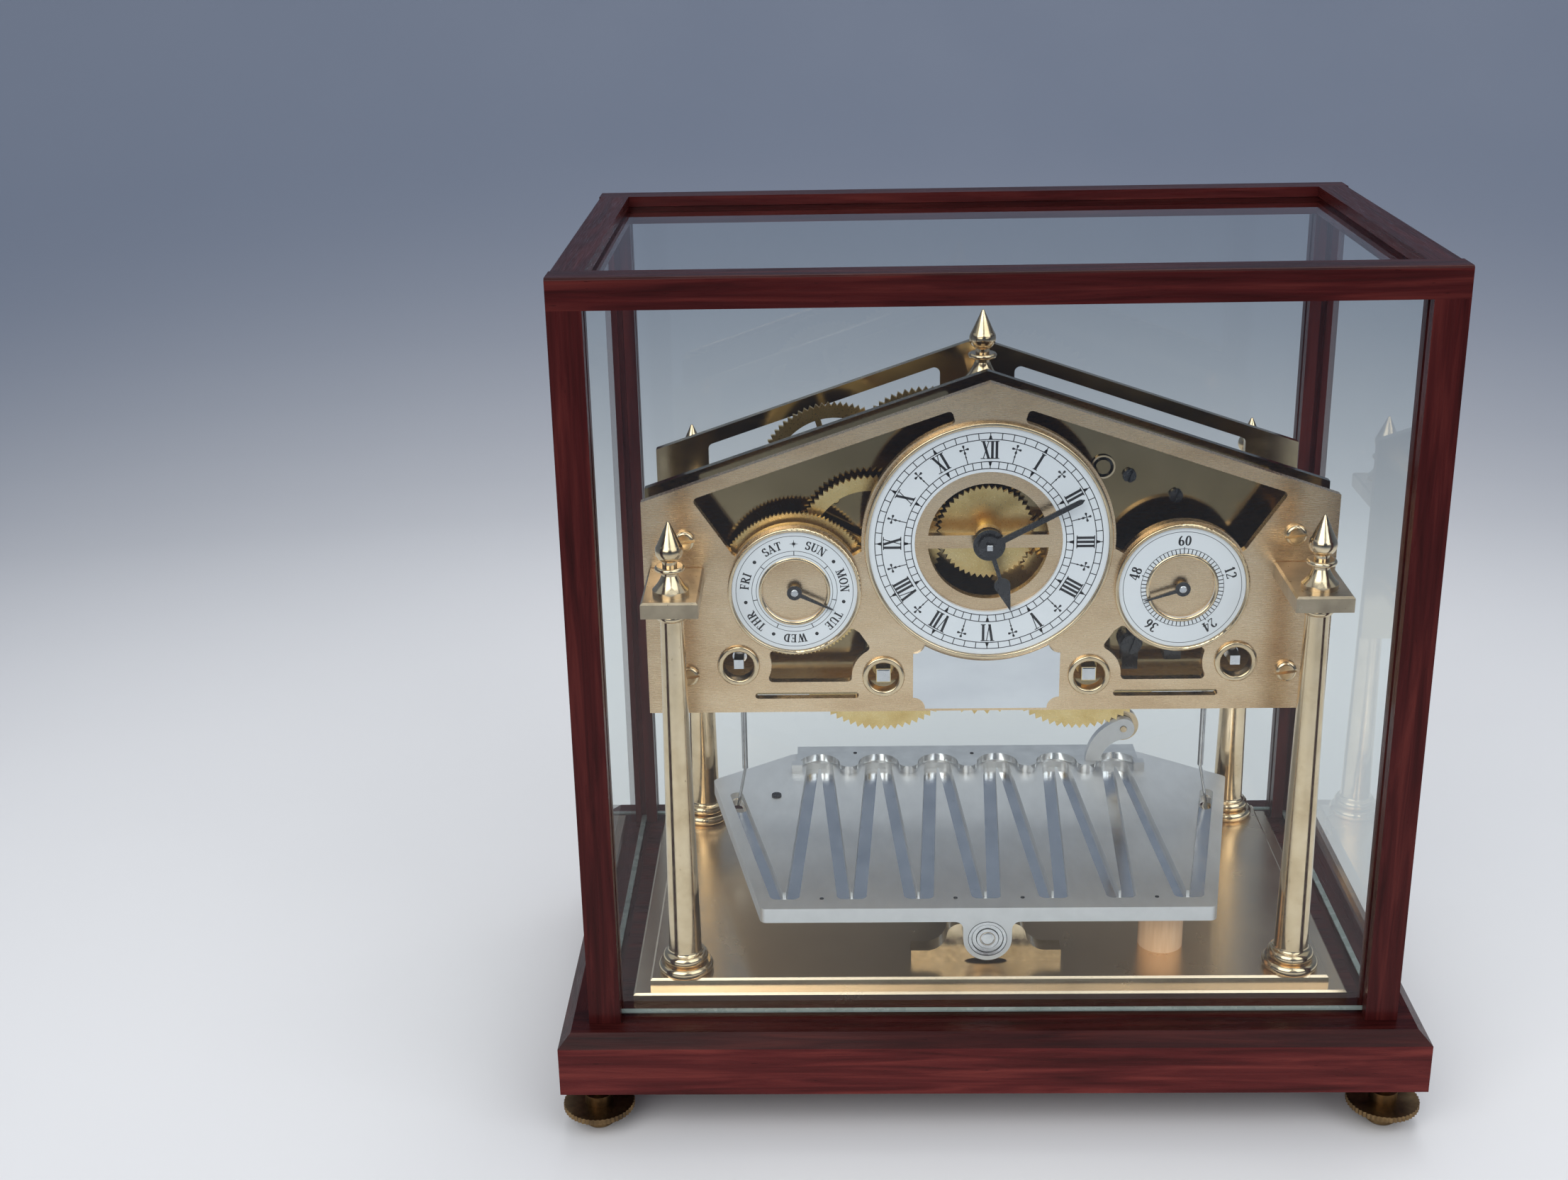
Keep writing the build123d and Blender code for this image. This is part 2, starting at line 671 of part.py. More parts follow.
# Four levelling feet, each a knurled disc on a stud that screws into the plinth
disc_top = FOOT_HUB_HEIGHT + FOOT_DISC_HEIGHT
for number, (sx, sy) in enumerate([(-1, -1), (1, -1), (-1, 1), (1, 1)], start=1):
    foot_x = sx * foot_out
    foot_y = sy * foot_setback
    with BuildPart() as levelling_foot:
        with BuildSketch(turned_view(foot_x, foot_y, 0)):
            with BuildLine():
                Polyline(
                    (0, 0),
                    (FOOT_HUB_RADIUS - FOOT_HUB_ROUND, 0),
                    (FOOT_HUB_RADIUS, FOOT_HUB_ROUND),
                    (FOOT_HUB_RADIUS, FOOT_HUB_HEIGHT),
                    (FOOT_NECK_RADIUS, disc_top),
                    (FOOT_NECK_RADIUS, disc_top + FOOT_NECK_HEIGHT),
                    (FOOT_STUD_RADIUS, disc_top + FOOT_NECK_HEIGHT),
                    (FOOT_STUD_RADIUS, FOOT_LIFT + FOOT_STUD_LENGTH),
                    (0, FOOT_LIFT + FOOT_STUD_LENGTH),
                    close=True,
                )
            make_face()
        revolve(axis=upright(foot_x, foot_y))
        knurls = [
            around(
                (foot_x, foot_y),
                FOOT_DISC_RADIUS - FOOT_KNURL_DEPTH * (n % 2),
                180 * n / FOOT_KNURLS,
            )
            for n in range(2 * FOOT_KNURLS)
        ]
        with BuildSketch(Plane.XY.offset(FOOT_HUB_HEIGHT)):
            with BuildLine():
                Polyline(*knurls, close=True)
            make_face()
        extrude(amount=FOOT_DISC_HEIGHT)
    levelling_foot.part.label = f"levelling_foot_{number}"
    export_step(levelling_foot.part, f"parts/levelling_foot_{number}.step")

# Cover frame, grooved for the panes
post_out = (COVER_WIDTH - COVER_BAR) / 2
post_setback = (COVER_DEPTH - COVER_BAR) / 2
groove_width = PANE_THICK + 2 * SEAT_FIT
groove_length = PANE_GROOVE_DEPTH + CUT_OVERRUN
groove_shift = COVER_BAR / 2 - PANE_GROOVE_DEPTH + groove_length / 2
with BuildPart() as cover_posts:
    for sx in (-1, 1):
        for sy in (-1, 1):
            with BuildSketch(Plane.XY.offset(plinth_top + SEAT_FIT)):
                with Locations((sx * post_out, sy * post_setback)):
                    Rectangle(COVER_BAR, COVER_BAR)
                with Locations((sx * (post_out - groove_shift), sy * post_setback)):
                    Rectangle(groove_length, groove_width, mode=Mode.SUBTRACT)
                with Locations((sx * post_out, sy * (post_setback - groove_shift))):
                    Rectangle(groove_width, groove_length, mode=Mode.SUBTRACT)
            extrude(amount=COVER_HEIGHT - COVER_RAIL_HEIGHT - SEAT_FIT)
cover_posts.part.label = "cover_posts"
export_step(cover_posts.part, "parts/cover_posts.step")

opening_width = COVER_WIDTH - 2 * COVER_BAR
opening_depth = COVER_DEPTH - 2 * COVER_BAR
grooved_width = opening_width + 2 * PANE_GROOVE_DEPTH
grooved_depth = opening_depth + 2 * PANE_GROOVE_DEPTH
top_pane_z = cover_top - TOP_PANE_DROP - PANE_THICK
with BuildPart() as cover_rails_long:
    with BuildSketch(Plane.XY.offset(rail_low)):
        with GridLocations(0, 2 * post_setback, 1, 2):
            Rectangle(COVER_WIDTH, COVER_BAR)
    extrude(amount=COVER_RAIL_HEIGHT)
    with BuildSketch(Plane.XY.offset(rail_low - CUT_OVERRUN)):
        with GridLocations(0, 2 * post_setback, 1, 2):
            Rectangle(grooved_width, groove_width)
    extrude(amount=PANE_GROOVE_DEPTH + CUT_OVERRUN, mode=Mode.SUBTRACT)
    with BuildSketch(Plane.XY.offset(rail_low - CUT_OVERRUN)):
        with GridLocations(2 * post_out, 0, 2, 1):
            Rectangle(groove_width, grooved_depth)
    extrude(amount=PANE_GROOVE_DEPTH + CUT_OVERRUN, mode=Mode.SUBTRACT)
    with BuildSketch(Plane.XY.offset(top_pane_z - SEAT_FIT)):
        Rectangle(grooved_width, grooved_depth)
    extrude(amount=groove_width, mode=Mode.SUBTRACT)
    rail_edges = cover_rails_long.edges().group_by(Axis.Z)[-1].filter_by(Axis.X).sort_by(Axis.Y)
    fillet([rail_edges[0], rail_edges[-1]], radius=COVER_EDGE_ROUND)
cover_rails_long.part.label = "cover_rails_long"
export_step(cover_rails_long.part, "parts/cover_rails_long.step")

with BuildPart() as cover_rails_short:
    with BuildSketch(Plane.XY.offset(rail_low)):
        with GridLocations(2 * post_out, 0, 2, 1):
            Rectangle(COVER_BAR, opening_depth)
    extrude(amount=COVER_RAIL_HEIGHT)
    with BuildSketch(Plane.XY.offset(rail_low - CUT_OVERRUN)):
        with GridLocations(2 * post_out, 0, 2, 1):
            Rectangle(groove_width, grooved_depth)
    extrude(amount=PANE_GROOVE_DEPTH + CUT_OVERRUN, mode=Mode.SUBTRACT)
    with BuildSketch(Plane.XY.offset(top_pane_z - SEAT_FIT)):
        Rectangle(grooved_width, grooved_depth)
    extrude(amount=groove_width, mode=Mode.SUBTRACT)
    rail_edges = cover_rails_short.edges().group_by(Axis.Z)[-1].filter_by(Axis.Y).sort_by(Axis.X)
    fillet([rail_edges[0], rail_edges[-1]], radius=COVER_EDGE_ROUND)
cover_rails_short.part.label = "cover_rails_short"
export_step(cover_rails_short.part, "parts/cover_rails_short.step")

# Panes of the cover, held in the grooves
pane_low = plinth_top + PANE_LIFT
pane_height = rail_low + PANE_GROOVE_DEPTH - SEAT_FIT - pane_low
pane_width = grooved_width - 2 * SEAT_FIT
pane_depth = grooved_depth - 2 * SEAT_FIT
with BuildPart() as glass_front_and_back:
    with BuildSketch(Plane.XY.offset(pane_low)):
        with GridLocations(0, 2 * post_setback, 1, 2):
            Rectangle(pane_width, PANE_THICK)
    extrude(amount=pane_height)
glass_front_and_back.part.label = "glass_front_and_back"
export_step(glass_front_and_back.part, "parts/glass_front_and_back.step")

with BuildPart() as glass_sides:
    with BuildSketch(Plane.XY.offset(pane_low)):
        with GridLocations(2 * post_out, 0, 2, 1):
            Rectangle(PANE_THICK, pane_depth)
    extrude(amount=pane_height)
glass_sides.part.label = "glass_sides"
export_step(glass_sides.part, "parts/glass_sides.step")

with BuildPart() as glass_top:
    with BuildSketch(Plane.XY.offset(top_pane_z)):
        Rectangle(pane_width, pane_depth)
    extrude(amount=PANE_THICK)
glass_top.part.label = "glass_top"
export_step(glass_top.part, "parts/glass_top.step")

# Stepped bed
with BuildPart() as bed_lower:
    with BuildSketch(Plane.XY.offset(plinth_top)):
        Rectangle(BED_LOWER_WIDTH, BED_LOWER_DEPTH)
    extrude(amount=BED_LOWER_THICK)
    chamfer(bed_lower.edges().group_by(Axis.Z)[-1], length=BED_CHAMFER)
bed_lower.part.label = "bed_lower"
export_step(bed_lower.part, "parts/bed_lower.step")

with BuildPart() as bed_upper:
    with BuildSketch(Plane.XY.offset(bed_step)):
        Rectangle(BED_UPPER_WIDTH, BED_UPPER_DEPTH)
    extrude(amount=BED_UPPER_THICK)
    chamfer(bed_upper.edges().group_by(Axis.Z)[-1], length=BED_CHAMFER)
bed_upper.part.label = "bed_upper"
export_step(bed_upper.part, "parts/bed_upper.step")

# Columns: two rounded rings, a cove, a tapering shaft and a bead under the bracket slab
base_in = COLUMN_BASE_RADIUS - COLUMN_SWELL
ring_in = COLUMN_RING_RADIUS - COLUMN_SWELL
ring_top = COLUMN_BASE_HEIGHT + COLUMN_RING_HEIGHT
cove_top = ring_top + COLUMN_COVE_HEIGHT
bead_low = COLUMN_HEIGHT - COLUMN_CAP_HEIGHT - COLUMN_BEAD_HEIGHT
bead_top = COLUMN_HEIGHT - COLUMN_CAP_HEIGHT
with BuildPart() as columns:
    for x, y in column_places:
        with BuildSketch(turned_view(x, y, bed_top)):
            with BuildLine():
                Line((0, 0), (base_in, 0))
                SagittaArc((base_in, 0), (base_in, COLUMN_BASE_HEIGHT), -COLUMN_SWELL)
                Line((base_in, COLUMN_BASE_HEIGHT), (ring_in, COLUMN_BASE_HEIGHT))
                SagittaArc((ring_in, COLUMN_BASE_HEIGHT), (ring_in, ring_top), -COLUMN_SWELL)
                SagittaArc((ring_in, ring_top), (COLUMN_FOOT_RADIUS, cove_top), COLUMN_COVE_HOLLOW)
                Line((COLUMN_FOOT_RADIUS, cove_top), (COLUMN_NECK_RADIUS, bead_low))
                SagittaArc(
                    (COLUMN_NECK_RADIUS, bead_low),
                    (COLUMN_NECK_RADIUS, bead_top),
                    COLUMN_NECK_RADIUS - COLUMN_BEAD_RADIUS,
                )
                Polyline(
                    (COLUMN_NECK_RADIUS, bead_top),
                    (COLUMN_NECK_RADIUS, COLUMN_HEIGHT),
                    (0, COLUMN_HEIGHT),
                    (0, 0),
                )
            make_face()
        revolve(axis=upright(x, y))
columns.part.label = "columns"
export_step(columns.part, "parts/columns.step")

# Bracket slabs from the columns to the front and rear plates
slab_front = COLUMN_SETBACK + BRACKET_OVERHANG
with BuildPart() as column_brackets:
    for sx in (-1, 1):
        for sy, plate_face in ((-1, front_face), (1, rear_back)):
            with BuildSketch(Plane.XY.offset(slab_low)):
                with Locations((sx * COLUMN_OUT, (sy * slab_front + plate_face) / 2)):
                    Rectangle(BRACKET_WIDTH, abs(sy * slab_front - plate_face))
            extrude(amount=BRACKET_THICK)
    chamfer(column_brackets.edges().group_by(Axis.Z)[-1], length=BRACKET_EDGE_ROUND)
column_brackets.part.label = "column_brackets"
export_step(column_brackets.part, "parts/column_brackets.step")


def draw_finial(foot_radius):
    """Half profile of a finial: a flared skirt, a neck, a ring and an onion drawn to a point."""
    skirt_top = FINIAL_BAND_HEIGHT + FINIAL_SKIRT_HEIGHT
    neck_top = skirt_top + FINIAL_NECK_HEIGHT
    ring_edge = (FINIAL_RING_RADIUS + FINIAL_NECK_RADIUS) / 2
    ring_end = neck_top + FINIAL_RING_HEIGHT
    stem_top = ring_end + FINIAL_STEM_HEIGHT
    onion_middle = stem_top + FINIAL_ONION_HEIGHT / 2
    onion_top = stem_top + FINIAL_ONION_HEIGHT
    Polyline((0, 0), (foot_radius, 0), (foot_radius, FINIAL_BAND_HEIGHT))
    SagittaArc(
        (foot_radius, FINIAL_BAND_HEIGHT),
        (FINIAL_NECK_RADIUS, skirt_top),
        FINIAL_SKIRT_HOLLOW,
    )
    Polyline((FINIAL_NECK_RADIUS, skirt_top), (FINIAL_NECK_RADIUS, neck_top), (ring_edge, neck_top))
    SagittaArc((ring_edge, neck_top), (ring_edge, ring_end), ring_edge - FINIAL_RING_RADIUS)
    Polyline((ring_edge, ring_end), (FINIAL_STEM_RADIUS, ring_end), (FINIAL_STEM_RADIUS, stem_top))
    ThreePointArc(
        (FINIAL_STEM_RADIUS, stem_top),
        (FINIAL_ONION_RADIUS, onion_middle),
        (FINIAL_ONION_RADIUS * FINIAL_ONION_TOP_SHARE, onion_top),
    )
    Polyline(
        (FINIAL_ONION_RADIUS * FINIAL_ONION_TOP_SHARE, onion_top),
        (FINIAL_TIP_RADIUS, FINIAL_HEIGHT),
        (0, FINIAL_HEIGHT),
        (0, 0),
    )


with BuildPart() as column_finials:
    for x, y in column_places:
        with BuildSketch(turned_view(x, y, slab_top)):
            with BuildLine():
                draw_finial(FINIAL_FOOT_RADIUS)
            make_face()
        revolve(axis=upright(x, y))
column_finials.part.label = "column_finials"
export_step(column_finials.part, "parts/column_finials.step")

ridge_top = apex_z - RIDGE_DROP
apex_y = middle_back + APEX_SETBACK
with BuildPart() as apex_finial:
    with BuildSketch(turned_view(0, apex_y, ridge_top)):
        with BuildLine():
            draw_finial(APEX_FOOT_RADIUS)
        make_face()
    revolve(axis=upright(0, apex_y))
apex_finial.part.label = "apex_finial"
export_step(apex_finial.part, "parts/apex_finial.step")


def draw_gable():
    """Outline that the three movement plates share, with straight sides under a low gable."""
    Polyline(
        (-PLATE_HALF_WIDTH, plate_low),
        (PLATE_HALF_WIDTH, plate_low),
        (PLATE_HALF_WIDTH, shoulder_z),
        (0, apex_z),
        (-PLATE_HALF_WIDTH, shoulder_z),
        close=True,
    )


def under_gable(out, drop):
    """Point at a distance out to the left, a drop below the sloping edge of the gable."""
    return -out, apex_z - PLATE_RISE * out / PLATE_HALF_WIDTH - drop


# Front plate with the openings that show the wheels
side_land = SIDE_DIAL_RADIUS + WINDOW_LAND
main_land = MAIN_DIAL_RADIUS + BEZEL_WIDTH + WINDOW_LAND / 2
plate_cut = PLATE_THICK + 2 * CUT_OVERRUN
lower_window_z = plate_low + LOWER_WINDOW_LIFT
with BuildSketch(front_view(front_back + CUT_OVERRUN)) as front_windows:
    with BuildLine():
        Polyline(
            under_gable(WINDOW_TOP_OUT, WINDOW_EDGE),
            under_gable(WINDOW_TOP_IN, WINDOW_EDGE),
            centre,
            (-WINDOW_NECK_OUT, dial_z - WINDOW_NECK_DROP),
            day_place,
            (-WINDOW_SIDE_IN, dial_z - WINDOW_SIDE_DROP),
            close=True,
        )
    make_face()
    with BuildLine():
        Polyline(
            (setting_left[0], lower_window_z),
            (winding_left[0], lower_window_z),
            (-LOWER_WINDOW_IN, plate_low + LOWER_WINDOW_SHOULDER),
            (-LOWER_WINDOW_TIP_OUT, plate_low + LOWER_WINDOW_TIP_LIFT),
            day_place,
            setting_left,
            close=True,
        )
    make_face()
    with Locations(day_place):
        Circle(side_land, mode=Mode.SUBTRACT)
    with Locations(setting_left):
        Circle(BUSH_RADIUS + SETTING_LAND, mode=Mode.SUBTRACT)
    with Locations(winding_left):
        Circle(BUSH_RADIUS + WINDING_LAND, mode=Mode.SUBTRACT)
    with Locations(centre):
        Circle(main_land, mode=Mode.SUBTRACT)
    plain_corners = front_windows.vertices().filter_by(lambda v: v.Y > dial_z or v.Y < day_place[1])
    fillet(plain_corners, radius=WINDOW_CORNER_ROUND)
    with Locations((-SLOT_OUT, plate_low + SLOT_LIFT)):
        SlotOverall(SLOT_LENGTH, SLOT_HEIGHT)
    mirror(about=Plane.YZ)
    with Locations(centre):
        Circle(CENTRE_WINDOW_RADIUS)
        Rectangle(2 * CENTRE_WINDOW_RADIUS + CUT_OVERRUN, CENTRE_BAR_HEIGHT, mode=Mode.SUBTRACT)
        Circle(CENTRE_BOSS_RADIUS, mode=Mode.SUBTRACT)

with BuildPart() as front_plate:
    with BuildSketch(front_view(front_back)):
        with BuildLine():
            draw_gable()
        make_face()
        with Locations(centre):
            Circle(HOUR_PIPE_RADIUS + PIVOT_FIT, mode=Mode.SUBTRACT)
        with Locations(day_place, seconds_place):
            Circle(ARBOR_RADIUS + PIVOT_FIT, mode=Mode.SUBTRACT)
        with Locations(winding_left, winding_right, setting_left, setting_right):
            Circle(BUSH_SLEEVE + SEAT_FIT, mode=Mode.SUBTRACT)
    extrude(amount=PLATE_THICK)
    extrude(front_windows.sketch, amount=plate_cut, mode=Mode.SUBTRACT)
front_plate.part.label = "front_plate"
export_step(front_plate.part, "parts/front_plate.step")

# Polished middle plate, pierced for the arbors, with a collar sunk in a ring round its pivot
with BuildPart() as middle_plate:
    with BuildSketch(front_view(middle_back)):
        with BuildLine():
            draw_gable()
        make_face()
        with Locations(
            centre,
            day_place,
            seconds_place,
            transfer_place,
            minute_place,
            second_place,
            release_place,
            locking_place,
            third_place,
        ):
            Circle(ARBOR_RADIUS + PIVOT_FIT, mode=Mode.SUBTRACT)
        with Locations(winding_left, winding_right):
            Circle(WINDING_ARBOR_RADIUS + PIVOT_FIT, mode=Mode.SUBTRACT)
        with Locations(setting_left, setting_right):
            Circle(SETTING_ARBOR_RADIUS + PIVOT_FIT, mode=Mode.SUBTRACT)
    extrude(amount=PLATE_THICK)
    add_rod(collar_place, middle_face - COLLAR_PROUD, middle_face, COLLAR_RADIUS)
    with BuildSketch(front_view(middle_face + COLLAR_SINK)) as collar_ring:
        with Locations(collar_place):
            Circle(COLLAR_BORE)
            Circle(COLLAR_PIVOT_RADIUS, mode=Mode.SUBTRACT)
    extrude(collar_ring.sketch, amount=COLLAR_SINK + COLLAR_PROUD + CUT_OVERRUN, mode=Mode.SUBTRACT)
middle_plate.part.label = "middle_plate"
export_step(middle_plate.part, "parts/middle_plate.step")

# Dark fittings on the middle plate: a click lever under its screw, a stop and two screws
click_face = middle_face - CLICK_THICK
click_head = click_face - CLICK_SCREW_HEIGHT
fitting_head = middle_face - FITTING_SCREW_HEIGHT
with BuildPart() as middle_plate_fittings:
    with BuildSketch(front_view(middle_face)):
        with Locations(click_place):
            Circle(CLICK_RADIUS)
            Rectangle(CLICK_WIDTH, CLICK_LENGTH, align=(Align.CENTER, Align.MAX))
    extrude(amount=CLICK_THICK)
    add_rod(click_place, click_head, click_face, CLICK_SCREW_RADIUS)
    cut_slot(click_place, click_head, SCREW_SLOT_DEPTH, 2 * CLICK_SCREW_RADIUS, FITTING_SLOT_TURN)
    with BuildSketch(front_view(middle_face)):
        with Locations(stop_place):
            Rectangle(STOP_WIDTH, STOP_HEIGHT)
    extrude(amount=STOP_THICK)
    for place in fitting_screw_places:
        add_rod(place, fitting_head, middle_face, FITTING_SCREW_RADIUS)
        cut_slot(place, fitting_head, SCREW_SLOT_DEPTH, 2 * FITTING_SCREW_RADIUS, FITTING_SLOT_TURN)
middle_plate_fittings.part.label = "middle_plate_fittings"
export_step(middle_plate_fittings.part, "parts/middle_plate_fittings.step")

# Rear plate with long openings under the gable, cheeks for the trip rods and the crank bush
trip_y = rear_face - TRIP_SETBACK
trip_z = dial_z - TRIP_PIVOT_DROP
cheek_shift = TRIP_EYE_THICK / 2 + SIDE_PLAY + TRIP_CHEEK_THICK / 2
with BuildSketch(front_view(rear_back + CUT_OVERRUN)) as rear_windows:
    with BuildLine():
        Polyline(
            under_gable(REAR_SLOT_OUT, WINDOW_EDGE),
            under_gable(REAR_SLOT_IN, WINDOW_EDGE),
            under_gable(REAR_SLOT_IN, WINDOW_EDGE + REAR_SLOT_HEIGHT),
            under_gable(REAR_SLOT_OUT, WINDOW_EDGE + REAR_SLOT_HEIGHT),
            close=True,
        )
    make_face()
    fillet(rear_windows.vertices(), radius=REAR_SLOT_ROUND)
    mirror(about=Plane.YZ)

with BuildPart() as rear_plate:
    with BuildSketch(front_view(rear_back)):
        with BuildLine():
            draw_gable()
        make_face()
    extrude(amount=PLATE_THICK)
    extrude(rear_windows.sketch, amount=plate_cut, mode=Mode.SUBTRACT)
    add_rod(crank_place, rear_back, rear_back + CRANK_DISC_GAP - SIDE_PLAY, CRANK_BUSH_RADIUS)
    cut_bore(crank_place, rear_face, rear_back + CRANK_DISC_GAP, CRANK_ARBOR_RADIUS + PIVOT_FIT)
    for place in (seconds_place, second_place, release_place, locking_place, third_place):
        cut_bore(place, rear_face, rear_back, ARBOR_RADIUS + PIVOT_FIT)
    for place in (winding_left, winding_right):
        cut_bore(place, rear_face, rear_back, WINDING_ARBOR_RADIUS + PIVOT_FIT)
    for side in (-1, 1):
        for cheek in (-1, 1):
            cheek_x = side * TRIP_OUT + cheek * cheek_shift
            with BuildSketch(Plane.YZ.offset(cheek_x - TRIP_CHEEK_THICK / 2)):
                with Locations((trip_y, trip_z)):
                    Circle(TRIP_EYE_RADIUS)
                with Locations(((trip_y + rear_face) / 2, trip_z)):
                    Rectangle(TRIP_SETBACK, 2 * TRIP_EYE_RADIUS)
            extrude(amount=TRIP_CHEEK_THICK)
        with BuildSketch(Plane.YZ.offset(side * TRIP_OUT - cheek_shift)):
            with Locations((trip_y, trip_z)):
                Circle(TRIP_PIN_RADIUS)
        extrude(amount=2 * cheek_shift)
rear_plate.part.label = "rear_plate"
export_step(rear_plate.part, "parts/rear_plate.step")

# Pillars between the plates and the ridge bar under the apex finial
with BuildPart() as plate_pillars:
    for place in pillar_places:
        add_rod(place, front_back, middle_face, PILLAR_RADIUS)
        add_rod(place, middle_back, rear_face, PILLAR_RADIUS)
    with BuildSketch(front_view(rear_face)):
        with Locations((0, ridge_top - RIDGE_THICK / 2)):
            Rectangle(RIDGE_WIDTH, RIDGE_THICK)
    extrude(amount=BACK_GAP)
plate_pillars.part.label = "plate_pillars"
export_step(plate_pillars.part, "parts/plate_pillars.step")

# Slotted screws on the outer faces of the front and rear plates
with BuildPart() as plate_screws:
    for place in pillar_places:
        add_rod(place, front_face - SCREW_HEIGHT, front_face, SCREW_RADIUS)
        add_rod(place, rear_back, rear_back + SCREW_HEIGHT, SCREW_RADIUS)
    head_edges = plate_screws.edges().filter_by(GeomType.CIRCLE).group_by(Axis.Y)
    fillet([*head_edges[0], *head_edges[-1]], radius=SCREW_EDGE_ROUND)
    rear_slot = rear_back + SCREW_HEIGHT + CUT_OVERRUN - SCREW_SLOT_DEPTH
    for place in pillar_places:
        for slot_front in (front_face - SCREW_HEIGHT, rear_slot):
            cut_slot(place, slot_front, SCREW_SLOT_DEPTH, 2 * SCREW_RADIUS, SCREW_SLOT_TURN)
plate_screws.part.label = "plate_screws"
export_step(plate_screws.part, "parts/plate_screws.step")

# Enamel dial rings and their bezels
dial_rings = {
    "main_dial": (centre, MAIN_DIAL_RADIUS, MAIN_DIAL_HOLE),
    "day_dial": (day_place, SIDE_DIAL_RADIUS, SIDE_DIAL_HOLE),
    "seconds_dial": (seconds_place, SIDE_DIAL_RADIUS, SIDE_DIAL_HOLE),
}
for dial_name, (place, radius, hole) in dial_rings.items():
    with BuildPart() as dial:
        with BuildSketch(front_view(front_face)):
            with Locations(place):
                Circle(radius)
                Circle(hole, mode=Mode.SUBTRACT)
        extrude(amount=DIAL_THICK)
    dial.part.label = dial_name
    export_step(dial.part, f"parts/{dial_name}.step")

with BuildPart() as dial_bezels:
    for place, radius, hole in dial_rings.values():
        with BuildSketch(front_view(front_face)):
            with Locations(place):
                Circle(radius + BEZEL_WIDTH)
                Circle(radius + SEAT_FIT, mode=Mode.SUBTRACT)
        extrude(amount=DIAL_THICK + BEZEL_PROUD)
    fillet(dial_bezels.edges().filter_by(GeomType.CIRCLE).group_by(Axis.Y)[0], radius=BEZEL_EDGE_ROUND)
dial_bezels.part.label = "dial_bezels"
export_step(dial_bezels.part, "parts/dial_bezels.step")

# Flanged bushes in the winding and setting holes
with BuildPart() as winding_bushes:
    for place in (winding_left, winding_right, setting_left, setting_right):
        add_rod(place, front_face, front_back, BUSH_SLEEVE)
        add_rod(place, front_face - BUSH_PROUD, front_face, BUSH_RADIUS)
        cut_bore(place, front_face - BUSH_PROUD, front_back, BUSH_BORE)
    rim_edges = winding_bushes.edges().filter_by(GeomType.CIRCLE).group_by(Axis.Y)[0]
    fillet(rim_edges, radius=BUSH_EDGE_ROUND)
winding_bushes.part.label = "winding_bushes"
export_step(winding_bushes.part, "parts/winding_bushes.step")

# Bare plaque whose top edge follows the main bezel
plaque_low = plate_low + PLAQUE_LIFT
plaque_corners = [
    (side * PLAQUE_HALF_WIDTH, plaque_low + lift) for side in (-1, 1) for lift in (0, PLAQUE_HEIGHT)
]
with BuildPart() as plaque:
    with BuildSketch(front_view(front_face)):
        with Locations((0, plaque_low + PLAQUE_HEIGHT / 2)):
            Rectangle(2 * PLAQUE_HALF_WIDTH, PLAQUE_HEIGHT)
        with Locations(*plaque_corners):
            Circle(PLAQUE_NOTCH, mode=Mode.SUBTRACT)
        with Locations(centre):
            Circle(MAIN_DIAL_RADIUS + BEZEL_WIDTH + PLAQUE_DIAL_GAP, mode=Mode.SUBTRACT)
    extrude(amount=PLAQUE_THICK)
plaque.part.label = "plaque"
export_step(plaque.part, "parts/plaque.step")

# Centre arbor with the cannon pinion, the pinion driven from below and the centre wheel
arbor_front = minute_hand_back - HAND_THICK - HAND_LIFT
middle_pivot = middle_face + ARBOR_SINK
rear_pivot = rear_back - ARBOR_SINK
with BuildPart() as centre_wheel:
    add_rod(centre, minute_hand_back, centre_layer + PINION_OVERLAP, ARBOR_RADIUS)
    add_pinion(centre, minute_layer, WHEEL_THICK, CANNON_TEETH, cannon_module, cannon_turn)
    add_pinion(
        centre, second_layer, WHEEL_THICK, CENTRE_PINION_TEETH, second_module, centre_pinion_turn
    )
    add_wheel(
        centre, centre_layer, WHEEL_THICK, CENTRE_TEETH, centre_module, centre_turn, CROSSINGS
    )
centre_wheel.part.label = "centre_wheel"
export_step(centre_wheel.part, "parts/centre_wheel.step")

# Hour wheel on a pipe round the centre arbor
with BuildPart() as hour_wheel:
    add_wheel(centre, hour_layer, WHEEL_THICK, HOUR_TEETH, hour_module, hour_turn)
    add_rod(centre, hour_hand_back, hour_layer, HOUR_PIPE_RADIUS)
    cut_bore(centre, hour_hand_back, hour_layer, ARBOR_RADIUS + PIVOT_FIT)
hour_wheel.part.label = "hour_wheel"
export_step(hour_wheel.part, "parts/hour_wheel.step")

with BuildPart() as minute_wheel:
    add_rod(minute_place, hour_layer - WHEEL_THICK, middle_back - ARBOR_SINK, ARBOR_RADIUS)
    add_wheel(minute_place, minute_layer, WHEEL_THICK, MINUTE_TEETH, cannon_module, minute_turn)
    add_pinion(
        minute_place,
        hour_layer,
        WHEEL_THICK,
        MINUTE_PINION_TEETH,
        hour_module,
        minute_pinion_turn,
    )
minute_wheel.part.label = "minute_wheel"
export_step(minute_wheel.part, "parts/minute_wheel.step")

# Transfer wheel that carries the hour motion to the day wheel
with BuildPart() as transfer_wheel:
    add_rod(transfer_place, day_layer - WHEEL_THICK, middle_back - ARBOR_SINK, ARBOR_RADIUS)
    add_wheel(
        transfer_place,
        hour_layer,
        WHEEL_THICK,
        TRANSFER_TEETH,
        hour_module,
        transfer_turn,
        CROSSINGS,
    )
    add_pinion(
        transfer_place,
        day_layer,
        WHEEL_THICK,
        TRANSFER_PINION_TEETH,
        day_module,
        transfer_pinion_turn,
    )
transfer_wheel.part.label = "transfer_wheel"
export_step(transfer_wheel.part, "parts/transfer_wheel.step")

